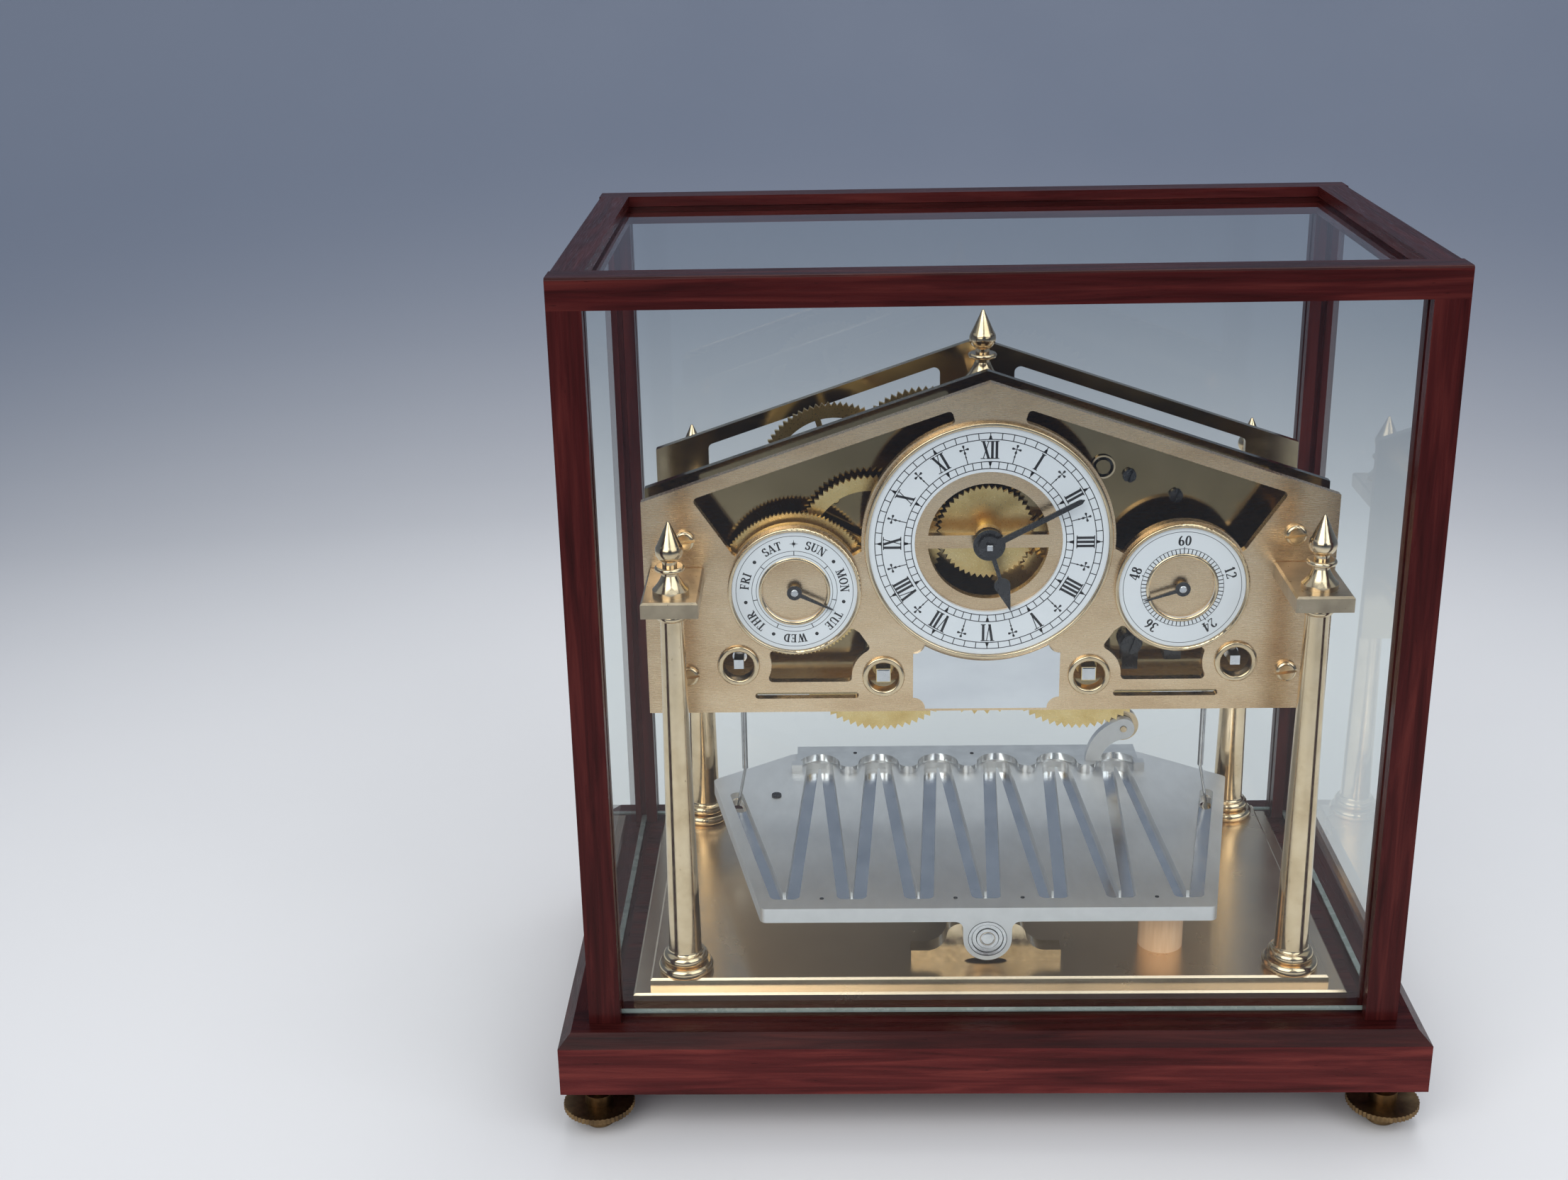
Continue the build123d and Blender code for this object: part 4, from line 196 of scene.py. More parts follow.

# Collar on the middle plate, in millimetres from the middle of the main dial, with a black ring of painted
# shade deep in its bore
COLLAR_PLACE = (47.4, 25.6)
COLLAR_RIM = (4.25, 4.95)
# Black ring of painted shade in the bore: inner and outer radius, then its depth below the plate's face
COLLAR_SHADE_RING = (3.05, 4.15)
COLLAR_DEPTH = 2.7

# Corners of round pieces
DISC_STEPS = 28
LINE_STEPS = 144
RIM_STEPS = 72
BEARING_STEPS = 64
COLLAR_STEPS = 48


def add_object(name, data):
    """Object with that data, in the scene."""
    made = bpy.data.objects.new(name, data)
    bpy.context.scene.collection.objects.link(made)
    return made


def add_node(tree, kind, inputs=None, **settings):
    """Shader node with its settings and its input values."""
    made = tree.nodes.new(kind)
    for key, value in settings.items():
        setattr(made, key, value)
    for key, value in (inputs or {}).items():
        made.inputs[key].default_value = value
    return made


def grain(tree, stretch, detail=4.0, twist=0.0):
    """Noise over the object's own metres, with so many features a metre along each axis."""
    place = add_node(tree, "ShaderNodeTexCoord")
    scale = add_node(tree, "ShaderNodeMapping", {"Scale": stretch})
    noise = add_node(
        tree,
        "ShaderNodeTexNoise",
        {"Scale": 1.0, "Detail": detail, "Roughness": NOISE_ROUGHNESS, "Distortion": twist},
    )
    tree.links.new(place.outputs["Object"], scale.inputs["Vector"])
    tree.links.new(scale.outputs["Vector"], noise.inputs["Vector"])
    return noise.outputs["Fac"]


def ramp(tree, factor, stops):
    """Colours laid along a factor from 0 to 1."""
    made = add_node(tree, "ShaderNodeValToRGB")
    band = made.color_ramp
    while len(band.elements) < len(stops):
        band.elements.new(0.5)
    for element, (place, colour) in zip(band.elements, stops):
        element.position = place
        element.color = (*colour, 1.0)
    tree.links.new(factor, made.inputs["Fac"])
    return made.outputs["Color"]


def map_range(tree, factor, source, target=(0.0, 1.0), **settings):
    """Factor laid out from one range of values onto another."""
    ends = {"From Min": source[0], "From Max": source[1], "To Min": target[0], "To Max": target[1]}
    made = add_node(tree, "ShaderNodeMapRange", ends, **settings)
    tree.links.new(factor, made.inputs["Value"])
    return made.outputs["Result"]


def upward(tree, target=(0.0, 1.0)):
    """One value on upright faces and another on faces that look up."""
    facing = add_node(tree, "ShaderNodeNewGeometry")
    parts = add_node(tree, "ShaderNodeSeparateXYZ")
    tree.links.new(facing.outputs["Normal"], parts.inputs["Vector"])
    return map_range(tree, parts.outputs["Z"], UPWARD_REACH, target)


def blend(tree, factor, first, second, kind="MIX"):
    """First colour led over to a fixed second one by a factor."""
    made = add_node(tree, "ShaderNodeMix", data_type="RGBA", blend_type=kind)
    tree.links.new(factor, made.inputs[MIX_FACTOR])
    tree.links.new(first, made.inputs[MIX_FIRST])
    made.inputs[MIX_SECOND].default_value = (*second, 1.0)
    return made.outputs[MIX_RESULT]


def flecked(tree, colour, stretch, fleck):
    """Colour with small flecks of another one scattered over it."""
    noise = grain(tree, stretch, FLECK_DETAIL)
    return blend(tree, map_range(tree, noise, FLECK_REACH, (0.0, FLECK_STRENGTH)), colour, fleck)


def bump(tree, factor, strength):
    """Shallow relief from a factor."""
    made = add_node(tree, "ShaderNodeBump", {"Strength": strength, "Distance": RELIEF_DEPTH})
    tree.links.new(factor, made.inputs["Height"])
    return made.outputs["Normal"]


def finish(
    name,
    stops,
    stretch,
    roughness,
    by_facing=False,
    metallic=0.0,
    fine=None,
    relief=0.0,
    coat=0.0,
    specular=0.5,
    detail=4.0,
    twist=0.0,
    flecks=None,
    shade=None,
):
    """Surface with colour from one grain, and roughness and relief from a finer one.

    Roughness can follow the way a face looks instead. Flecks have a grain and a colour of their own.
    A shade is painted shade that darkens the faces that look up.
    """
    made = bpy.data.materials.new(name)
    made.use_nodes = True
    tree = made.node_tree
    shader = tree.nodes["Principled BSDF"]
    shader.inputs["Metallic"].default_value = metallic
    shader.inputs["Coat Weight"].default_value = coat
    shader.inputs["Coat Roughness"].default_value = COAT_ROUGHNESS
    shader.inputs["Specular IOR Level"].default_value = specular
    colour = ramp(tree, grain(tree, stretch, detail, twist), stops)
    close = grain(tree, fine or [FINE_SHARE * count for count in stretch], FINE_DETAIL)
    if flecks:
        colour = flecked(tree, colour, *flecks)
    # Painted shade: the colour is multiplied darker on faces that look up
    if shade:
        colour = blend(tree, upward(tree), colour, (shade, shade, shade), "MULTIPLY")
    rough = upward(tree, roughness) if by_facing else map_range(tree, close, NOISE_REACH, roughness)
    tree.links.new(colour, shader.inputs["Base Color"])
    tree.links.new(rough, shader.inputs["Roughness"])
    if relief:
        tree.links.new(bump(tree, close, relief), shader.inputs["Normal"])
    return made


def clear_glass():
    """Thin pane that lets lamps through and mirrors more at a glance."""
    made = bpy.data.materials.new("clear_glass")
    made.use_nodes = True
    tree = made.node_tree
    tree.nodes.remove(tree.nodes["Principled BSDF"])

    def mixed(factor, first, second):
        """First shader led over to a second one by a factor."""
        mix = add_node(tree, "ShaderNodeMixShader")
        tree.links.new(factor, mix.inputs["Fac"])
        tree.links.new(first, mix.inputs[1])
        tree.links.new(second, mix.inputs[2])
        return mix.outputs["Shader"]

    through = add_node(tree, "ShaderNodeBsdfTransparent", {"Color": GLASS_TINT}).outputs["BSDF"]
    mirror = add_node(tree, "ShaderNodeBsdfGlossy", {"Color": GLASS_GLOSS})
    rough = map_range(tree, grain(tree, GLASS_WAVES), NOISE_REACH, GLASS_ROUGHNESS)
    tree.links.new(rough, mirror.inputs["Roughness"])
    edge = add_node(tree, "ShaderNodeFresnel", {"IOR": GLASS_IOR})
    facing = add_node(tree, "ShaderNodeNewGeometry")
    outer = mixed(edge.outputs["Fac"], through, mirror.outputs["BSDF"])
    whole = mixed(facing.outputs["Backfacing"], outer, through)
    tree.links.new(whole, tree.nodes["Material Output"].inputs["Surface"])
    return made


def tones(*colours):
    """Colours spread evenly over the part of a noise that shows."""
    low, high = NOISE_REACH
    return [(low + (high - low) * n / (len(colours) - 1), colour) for n, colour in enumerate(colours)]


def even(count):
    """The same number of features a metre along every axis."""
    return (count, count, count)


def drawn_out(across, along, axis):
    """Features a metre across a grain and along it, with the grain along axis 0, 1 or 2."""
    stretch = [across, across, across]
    stretch[axis] = along
    return stretch


def mahogany(name, axis, light, shade):
    """Polished red-brown wood with its grain along axis 0, 1 or 2, brightened by painted light and darkened
    by painted shade where it looks up.
    """
    return finish(
        name,
        # Painted light: the colours are scaled brighter by the light factor
        stops=[(place, [light * part for part in colour]) for place, colour in WOOD_STOPS],
        stretch=drawn_out(260.0, 14.0, axis),
        roughness=(0.22, 0.42),
        fine=drawn_out(1500.0, 70.0, axis),
        relief=0.25,
        coat=0.04,
        specular=0.1,
        detail=7.0,
        twist=0.6,
        flecks=(drawn_out(1300.0, 170.0, axis), WOOD_PORE),
        shade=shade,
    )


METALS = {
    "polished_brass": {
        "stops": tones((0.60, 0.45, 0.27), (0.74, 0.58, 0.38), (0.81, 0.65, 0.45)),
        "stretch": even(60),
        "roughness": (0.1, 0.24),
        "fine": even(420),
        "detail": 8.0,
        "flecks": (even(700), (0.32, 0.22, 0.12)),
    },
    "bed_brass": {
        "stops": tones((0.74, 0.60, 0.43), (0.81, 0.655, 0.48), (0.85, 0.70, 0.525)),
        "stretch": even(14),
        "roughness": (0.22, 0.28),
        "fine": even(40),
        "flecks": (even(1100), (0.45, 0.35, 0.24)),
    },
    "plate_brass": {
        "stops": tones((0.46, 0.36, 0.21), (0.56, 0.44, 0.27), (0.63, 0.50, 0.32)),
        "stretch": (18, 18, 60),
        "roughness": (0.12, 0.2),
        "fine": (50, 50, 160),
    },
    "slab_brass": {
        "stops": tones((0.38, 0.30, 0.21), (0.50, 0.40, 0.28), (0.60, 0.48, 0.35)),
        "stretch": even(70),
        "roughness": (0.26, 0.4),
        "fine": even(400),
        "relief": 0.03,
    },
    "satin_brass": {
        "stops": tones((0.67, 0.465, 0.28), (0.79, 0.58, 0.37), (0.85, 0.65, 0.44)),
        "stretch": (22, 60, 60),
        "roughness": (0.22, 0.34),
        "fine": (260, 2600, 2600),
        "relief": 0.02,
        "detail": 8.0,
    },
    "wheel_brass": {
        "stops": tones((0.66, 0.45, 0.17), (0.78, 0.57, 0.25), (0.85, 0.65, 0.32)),
        "stretch": even(90),
        "roughness": (0.24, 0.38),
        "fine": even(1500),
        "relief": 0.05,
    },
    "dark_brass": {
        "stops": [(0.3, (0.10, 0.065, 0.035)), (0.55, (0.21, 0.135, 0.065)), (0.75, (0.34, 0.23, 0.11))],
        "stretch": even(120),
        "roughness": (0.3, 0.5),
        "fine": even(900),
        "relief": 0.1,
    },
    "mirror_brass": {
        "stops": tones((0.20, 0.15, 0.08), (0.26, 0.198, 0.11), (0.32, 0.245, 0.14)),
        "stretch": even(20),
        "roughness": (0.08, 0.14),
        "fine": even(30),
    },
    "silvered": {
        "stops": tones((0.79, 0.80, 0.84), (0.89, 0.90, 0.93)),
        "stretch": (25, 60, 60),
        "roughness": (0.28, 0.4),
        "fine": (300, 2400, 2400),
        "relief": 0.04,
    },
    "aluminium": {
        "stops": tones((0.79, 0.79, 0.80), (0.82, 0.82, 0.83), (0.85, 0.85, 0.86)),
        "stretch": (160, 60, 160),
        "roughness": (0.46, 0.58),
        "fine": (2600, 200, 2600),
        "relief": 0.06,
        "detail": 8.0,
    },
    "mirror_steel": {
        "stops": tones((0.82, 0.83, 0.84), (0.91, 0.915, 0.92), (0.95, 0.955, 0.96)),
        "stretch": (60, 30, 60),
        "roughness": (0.16, 0.24),
        "fine": (120, 60, 120),
        "flecks": (even(420), (0.5, 0.5, 0.5)),
    },
    "steel": {
        "stops": tones((0.62, 0.62, 0.64), (0.78, 0.78, 0.80)),
        "stretch": even(120),
        "roughness": (0.14, 0.28),
    },
    "guard_steel": {
        "stops": tones((0.66, 0.67, 0.69), (0.78, 0.79, 0.81)),
        "stretch": even(120),
        "roughness": (0.14, 0.5),
        "by_facing": True,
    },
    "rod_steel": {
        "stops": tones((0.30, 0.30, 0.31), (0.44, 0.44, 0.45)),
        "stretch": even(200),
        "roughness": (0.1, 0.2),
    },
}
OTHER_FINISHES = {
    "enamel": {
        "stops": tones((0.76, 0.79, 0.84), (0.80, 0.82, 0.865)),
        "stretch": even(40),
        "roughness": (0.12, 0.2),
        "coat": 0.3,
    },
    "black_steel": {
        "stops": tones((0.008, 0.008, 0.010), (0.018, 0.018, 0.022)),
        "stretch": even(200),
        "roughness": (0.18, 0.32),
        "coat": 0.3,
    },
    "pale_wood": {
        "stops": tones((0.72, 0.44, 0.25), (0.84, 0.55, 0.34), (0.90, 0.63, 0.43)),
        "stretch": (300, 300, 20),
        "roughness": (0.45, 0.6),
        "fine": (1600, 1600, 90),
        "relief": 0.2,
        "detail": 7.0,
    },
    "glass_edge": {
        "stops": tones((0.20, 0.245, 0.235), (0.28, 0.33, 0.32)),
        "stretch": even(60),
        "roughness": (0.2, 0.35),
    },
    "ink": {
        "stops": tones((0.012, 0.012, 0.016), (0.022, 0.022, 0.028)),
        "stretch": even(300),
        "roughness": (0.3, 0.45),
    },
}
materials = {"glass": clear_glass()}
for name, values in METALS.items():
    materials[name] = finish(name, metallic=1.0, **values)
for name, values in OTHER_FINISHES.items():
    materials[name] = finish(name, **values)

# Looks of the nodes that do not take their slot's
# The plinth's mahogany is a copy brightened by painted light; every mahogany has painted shade where it
# looks up
plinth_wood = mahogany("mahogany_plinth_long_painted_light", 0, **PLINTH_PAINTED_SHADING)
special = {
    "base_panel": plinth_wood,
    "plinth_long_boards": plinth_wood,
    "plinth_short_boards": mahogany("mahogany_plinth_short_painted_light", 1, **PLINTH_PAINTED_SHADING),
    "cover_posts": mahogany("mahogany_upright", 2, **COVER_PAINTED_SHADING),
    "cover_rails_long": mahogany("mahogany_rail_long", 0, **COVER_PAINTED_SHADING),
    "cover_rails_short": mahogany("mahogany_rail_short", 1, **COVER_PAINTED_SHADING),
    "track_guard": materials["guard_steel"],
    "trip_rod_left": materials["rod_steel"],
    "trip_rod_right": materials["rod_steel"],
    "middle_plate": materials["mirror_brass"],
    "rear_plate": materials["plate_brass"],
    "tray_bearings": materials["steel"],
    "column_brackets": materials["slab_brass"],
    "bed_lower": materials["bed_brass"],
    "bed_upper": materials["bed_brass"],
}
for entry in frame["record"]["subparts"]:
    piece = frame["nodes"][entry["node"]]
    chosen = special.get(entry["node"]) or materials[entry["material_slot"]]
    piece.data.materials.clear()
    piece.data.materials.append(chosen)


def circle(radius, steps=DISC_STEPS):
    """Corners round a circle."""
    turns = [2 * math.pi * n / steps for n in range(steps)]
    return [(radius * math.cos(turn), radius * math.sin(turn)) for turn in turns]


def square(side):
    """Corners of a square about the middle."""
    half = side / 2
    return [(-half, -half), (half, -half), (half, half), (-half, half)]


def bevelled(middle, reach, cut):
    """Rectangle about a middle with its corners cut off."""
    (x, y), (u, v) = middle, reach
    return [
        (x - u + cut, y - v), (x + u - cut, y - v), (x + u, y - v + cut), (x + u, y + v - cut),
        (x + u - cut, y + v), (x - u + cut, y + v), (x - u, y + v - cut), (x - u, y - v + cut),
    ]


def scaled(points, across, along):
    """Points stretched about the middle."""
    return [(u * across, v * along) for u, v in points]


def clockwise(points, angle):
    """Points turned about the middle, in degrees."""
    turn = math.radians(angle)
    sine, cosine = math.sin(turn), math.cos(turn)
    return [(u * cosine + v * sine, v * cosine - u * sine) for u, v in points]


class Solid:
    """Closed prisms and rings in millimetres on a face that looks to the front, the back or up."""

    ACROSS = {"front": (1, 0, 0), "back": (-1, 0, 0), "up": (1, 0, 0)}
    ALONG = {"front": (0, 0, 1), "back": (0, 0, 1), "up": (0, 1, 0)}
    OUT = {"front": (0, -1, 0), "back": (0, 1, 0), "up": (0, 0, 1)}

    def __init__(self, origin, facing="front"):
        self.origin = Vector(origin)
        self.across = Vector(self.ACROSS[facing]) * MM
        self.along = Vector(self.ALONG[facing]) * MM
        self.out = Vector(self.OUT[facing]) * MM
        self.mesh = bmesh.new()

    def loop(self, points, level):
        """Corners of an outline at one level."""
        return [
            self.mesh.verts.new(self.origin + self.across * u + self.along * v + self.out * level)
            for u, v in points
        ]

    def prism(self, points, low, high, taper=1.0):
        """One outline raised from low to high, with its top scaled."""
        lower = self.loop(points, low)
        upper = self.loop(scaled(points, taper, taper), high)
        self.mesh.faces.new(upper)
        self.mesh.faces.new(reversed(lower))
        for n, start in enumerate(lower):
            after = (n + 1) % len(lower)
            self.mesh.faces.new((start, lower[after], upper[after], upper[n]))

    def turned(self, profile, steps):
        """Closed profile of radius and level turned round the middle."""
        loops = [self.loop(circle(reach, steps), level) for reach, level in profile]
        for first, second in zip(loops, loops[1:] + loops[:1]):
            for n in range(steps):
                after = (n + 1) % steps
                self.mesh.faces.new((first[n], second[n], second[after], first[after]))

    def ring(self, radius, width, low, high, steps):
        """Flat ring raised from low to high."""
        inner, outer = radius - width / 2, radius + width / 2
        self.turned([(inner, high), (outer, high), (outer, low), (inner, low)], steps)

    def done(self, name, body, record_slot, look=None):
        """Ends as one piece that rides on a body, with another look than its slot's if one is named."""
        bmesh.ops.recalc_face_normals(self.mesh, faces=self.mesh.faces)
        data = bpy.data.meshes.new(name)
        self.mesh.to_mesh(data)
        self.mesh.free()
        data.materials.append(materials[look or record_slot])
        made = add_object(name, data)
        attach(made, body)


def middle_of(node):
    """Middle of a node seen from the front, with the place of its front face."""
    low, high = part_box(node)
    return ((low[0] + high[0]) / 2, low[1], (low[2] + high[2]) / 2)


class Print(Solid):
    """Flat ink shapes on a dial, given from the dial's middle."""

    def __init__(self, dial):
        super().__init__(middle_of(dial))

    def shape(self, points, angle=0.0, radius=0.0):
        """One shape moved out along the radius and turned clockwise from the top."""
        self.prism(clockwise([(u, v + radius) for u, v in points], angle), 0.0, PRINT_THICK)

    def circle_line(self, radius, width=LINE_WIDTH):
        """Thin line round the dial."""
        self.ring(radius, width, 0.0, PRINT_THICK, LINE_STEPS)

    def tick(self, low, high, angle, width=LINE_WIDTH):
        """Short line along the radius."""
        half = width / 2
        self.shape([(-half, low), (half, low), (half, high), (-half, high)], angle)

    def words(self, text, angle, place, height):
        """Letters round the radius, with their feet towards the middle of the dial."""
        gap = LETTER_GAP * height
        widths = [GLYPHS[letter][0] * height for letter in text]
        start = -(sum(widths) + gap * (len(text) - 1)) / 2
        for letter, width in zip(text, widths):
            turn = angle + math.degrees((start + width / 2) / place)
            for points, breadths in GLYPHS[letter][1]:
                outline = ribbon(points, breadths)
                moved = [(u * height - width / 2, (v - 0.5) * height) for u, v in outline]
                self.shape(moved, turn, place)
            start += width + gap


def ribbon(points, breadths):
    """Outline of a pen stroke along points, with its breadth at each of them."""
    left, right = [], []
    for n, (x, y) in enumerate(points):
        before, after = points[max(n - 1, 0)], points[min(n + 1, len(points) - 1)]
        run, rise = after[0] - before[0], after[1] - before[1]
        half = breadths[n] / 2 / math.hypot(run, rise)
        left.append((x - rise * half, y + run * half))
        right.append((x + rise * half, y - run * half))
    return left + right[::-1]


def line(start, end, breadth):
    """Straight stroke."""
    return ([start, end], [breadth, breadth])


def stem(x, low=0.0, high=1.0, breadth=THICK):
    """Upright stroke."""
    return line((x, low), (x, high), breadth)


def bar(y, start, end):
    """Thin level stroke that stays inside the letter's height."""
    level = THIN / 2 + y * (1 - THIN)
    return line((start, level), (end, level), THIN)


def feet(y, *places):
    """Serifs at the foot or the head of stems."""
    return [bar(y, x - SERIF, x + SERIF) for x in places]


def bow(middle, reach, start, end):
    """Part of an ellipse, thick at its sides and thin at its top and foot."""
    turns = [math.radians(start + (end - start) * n / BOW_STEPS) for n in range(BOW_STEPS + 1)]
    points = [(middle[0] + reach[0] * math.cos(t), middle[1] + reach[1] * math.sin(t)) for t in turns]
    return (points, [THIN + (THICK - THIN) * abs(math.cos(t)) for t in turns])


def oval(middle, reach):
    """Whole ellipse as two bows."""
    return [bow(middle, reach, 90, 270), bow(middle, reach, 270, 450)]


# Width of each letter, then its strokes, as shares of its height
GLYPHS = {
    "A": (0.76, [
        line((0.06, 0), (0.38, 1), THIN), line((0.36, 1), (0.66, 0), THICK), bar(0.32, 0.15, 0.58),
        *feet(0, 0.09, 0.66),
    ]),
    "D": (0.74, [stem(0.18), bow((0.2, 0.5), (0.42, 0.46), -90, 90), *feet(0, 0.18), *feet(1, 0.18)]),
    "E": (0.66, [
        stem(0.18), bar(0, 0.02, 0.58), bar(0.5, 0.18, 0.46), bar(1, 0.02, 0.58),
        stem(0.56, 0, 0.24, THIN), stem(0.56, 0.76, 1, THIN), stem(0.44, 0.38, 0.62, THIN),
    ]),
    "F": (0.64, [
        stem(0.18), bar(0.5, 0.18, 0.46), bar(1, 0.02, 0.58), *feet(0, 0.18),
        stem(0.56, 0.74, 1, THIN), stem(0.44, 0.38, 0.62, THIN),
    ]),
    "H": (0.84, [
        stem(0.18), stem(0.66), bar(0.5, 0.18, 0.66), *feet(0, 0.18, 0.66), *feet(1, 0.18, 0.66),
    ]),
    "I": (0.36, [stem(0.18), *feet(0, 0.18), *feet(1, 0.18)]),
    "M": (0.96, [
        stem(0.14, breadth=THIN), line((0.14, 1), (0.47, 0.02), THICK),
        line((0.47, 0.02), (0.79, 1), THIN), stem(0.79), *feet(0, 0.14, 0.79), *feet(1, 0.1, 0.83),
    ]),
    "N": (0.84, [
        stem(0.15, breadth=THIN), line((0.15, 1), (0.69, 0), THICK), stem(0.69, breadth=THIN),
        *feet(0, 0.15), *feet(1, 0.1, 0.69),
    ]),
    "O": (0.78, oval((0.39, 0.5), (0.3, 0.46))),
    "R": (0.78, [
        stem(0.18), bow((0.3, 0.74), (0.26, 0.22), -90, 90), bar(1, 0.02, 0.3), bar(0.5, 0.18, 0.3),
        line((0.34, 0.5), (0.66, 0), THICK), *feet(0, 0.18, 0.68),
    ]),
    "S": (0.58, [
        bow((0.29, 0.735), (0.2, 0.22), 25, 270), bow((0.29, 0.275), (0.21, 0.235), 90, -155),
        stem(0.49, 0.72, 0.98, THIN), stem(0.08, 0.02, 0.28, THIN),
    ]),
    "T": (0.72, [
        stem(0.36), bar(1, 0.03, 0.69), *feet(0, 0.36),
        stem(0.05, 0.72, 1, THIN), stem(0.67, 0.72, 1, THIN),
    ]),
    "U": (0.8, [
        stem(0.18, 0.3), stem(0.63, 0.3, 1, THIN), bow((0.405, 0.3), (0.225, 0.26), 180, 360),
        *feet(1, 0.18, 0.63),
    ]),
    "W": (1.08, [
        line((0.14, 1), (0.36, 0), THICK), line((0.36, 0), (0.57, 1), THIN),
        line((0.52, 1), (0.74, 0), THICK), line((0.74, 0), (0.95, 1), THIN),
        *feet(1, 0.14, 0.53, 0.93),
    ]),
    "0": (0.58, oval((0.29, 0.5), (0.2, 0.46))),
    "1": (0.44, [stem(0.24), line((0.06, 0.8), (0.24, 0.97), THIN), *feet(0, 0.24)]),
    "2": (0.58, [
        bow((0.28, 0.7), (0.2, 0.26), 165, -40), line((0.43, 0.53), (0.07, 0.05), THIN),
        bar(0, 0.04, 0.53), stem(0.51, 0, 0.2, THIN),
    ]),
    "3": (0.58, [bow((0.27, 0.74), (0.18, 0.22), 155, -90), bow((0.27, 0.27), (0.21, 0.23), 90, -155)]),
    "4": (0.62, [stem(0.42), line((0.4, 0.98), (0.04, 0.28), THIN), bar(0.26, 0.03, 0.6), *feet(0, 0.42)]),
    "6": (0.58, [*oval((0.3, 0.29), (0.19, 0.25)), bow((0.46, 0.3), (0.36, 0.66), 100, 180)]),
    "8": (0.58, [*oval((0.29, 0.75), (0.16, 0.21)), *oval((0.29, 0.27), (0.2, 0.23))]),
}


def roman_shapes(numeral):
    """Strokes of a Roman numeral about its middle, with thick and thin strokes and serifs."""
    low, high = -(NUMERAL_HIGH - NUMERAL_LOW) / 2, (NUMERAL_HIGH - NUMERAL_LOW) / 2
    widths = [NUMERAL_PITCH if letter == "I" else NUMERAL_WIDE for letter in numeral]
    start = -sum(widths) / 2
    shapes = []

    def stroke(foot, head, width):
        """Stroke from the numeral's foot to its head."""
        half = width / 2
        shapes.append([(foot - half, low), (foot + half, low), (head + half, high), (head - half, high)])

    def serif(x, level):
        """Thin line across the end of a stroke."""
        half = NUMERAL_STROKE / 2 + NUMERAL_SERIF
        edge = level - math.copysign(NUMERAL_HAIRLINE, level)
        shapes.append([(x - half, level), (x + half, level), (x + half, edge), (x - half, edge)])

    for letter, width in zip(numeral, widths):
        middle = start + width / 2
        reach = width / 2 - NUMERAL_STROKE / 2
        if letter == "I":
            stroke(middle, middle, NUMERAL_STROKE)
            serif(middle, low)
            serif(middle, high)
        elif letter == "V":
            stroke(middle, middle - reach, NUMERAL_STROKE)
            stroke(middle, middle + reach, NUMERAL_HAIRLINE)
            serif(middle - reach, high)
            serif(middle + reach, high)
        else:
            stroke(middle + reach, middle - reach, NUMERAL_STROKE)
            stroke(middle - reach, middle + reach, NUMERAL_HAIRLINE)
            for side in (-1, 1):
                serif(middle + side * reach, high)
                serif(middle + side * reach, low)
        start += width
    return shapes


def print_main_dial():
    """Hours, half-hour crosses and two boxed minute tracks."""
    dial = Print("main_dial")
    for foot, tip in MAIN_TRACKS:
        low, high = sorted((foot, tip))
        dial.circle_line(low)
        dial.circle_line(high)
        for minute in range(60):
            angle = MINUTE_TURN * minute
            dial.tick(low, high, angle)
            if angle % HOUR_TURN == 0:
                dial.shape(scaled(BUD, BUD_WIDTH / 2, tip - foot), angle, foot)
    for hour, numeral in enumerate(HOURS):
        for points in roman_shapes(numeral):
            dial.shape(points, HOUR_TURN * hour, (NUMERAL_LOW + NUMERAL_HIGH) / 2)
    arrow = [(-ARROW / 2, -ARROW), (ARROW / 2, -ARROW), (0, ARROW / 2)]
    for hour in range(12):
        angle = HOUR_TURN * hour + HOUR_TURN / 2
        dial.tick(STEM_START, STEM_END, angle)
        dial.shape(arrow, angle, STEM_END - ARROW)
        for quarter in range(4):
            petal = scaled(clockwise(PETAL, 90 * quarter), CROSS_REACH, CROSS_REACH)
            dial.shape(petal, angle, CROSS_PLACE)
    dial.done("main_dial_print", "clock", "black_steel", "ink")


def print_day_dial():
    """Seven weekdays in boxes, dots between them and a star at the top."""
    dial = Print("day_dial")
    for radius in (SIDE_RING, *DAY_BOX):
        dial.circle_line(radius, SIDE_LINE_WIDTH)
    step = 360 / len(DAYS)
    for number, day in enumerate(DAYS):
        dial.tick(*DAY_BOX, number * step)
        dial.words(day, (number + 0.5) * step, DAY_NAME_PLACE, DAY_NAME_HEIGHT)
        if number:
            dial.shape(circle(DAY_DOT_RADIUS), number * step, DAY_NAME_PLACE)
    star = []
    for point in range(STAR_POINTS):
        turn = math.radians(360 / STAR_POINTS * point)
        reach = STAR_REACH * STAR_SHARES[point % len(STAR_SHARES)]
        star.append((reach * math.sin(turn), reach * math.cos(turn)))
    dial.shape(star, 0, DAY_NAME_PLACE)
    dial.done("day_dial_print", "clock", "black_steel", "ink")


def print_seconds_dial():
    """Sixty blocks, with a longer one at each of the five numbers."""
    dial = Print("seconds_dial")
    for radius in (SIDE_RING, *SECONDS_TRACK):
        dial.circle_line(radius, SIDE_LINE_WIDTH)
    low, high = SECONDS_TRACK
    for second in range(60):
        longer = LINE_WIDTH * 2 if second % 12 == 0 else 0
        dial.tick(low, high + longer, MINUTE_TURN * second, SECONDS_TICK)
    for second in SECONDS_NUMBERS:
        dial.words(str(second), MINUTE_TURN * second, SECONDS_NUMBER_PLACE, SECONDS_NUMBER_HEIGHT)
    dial.done("seconds_dial_print", "clock", "black_steel", "ink")


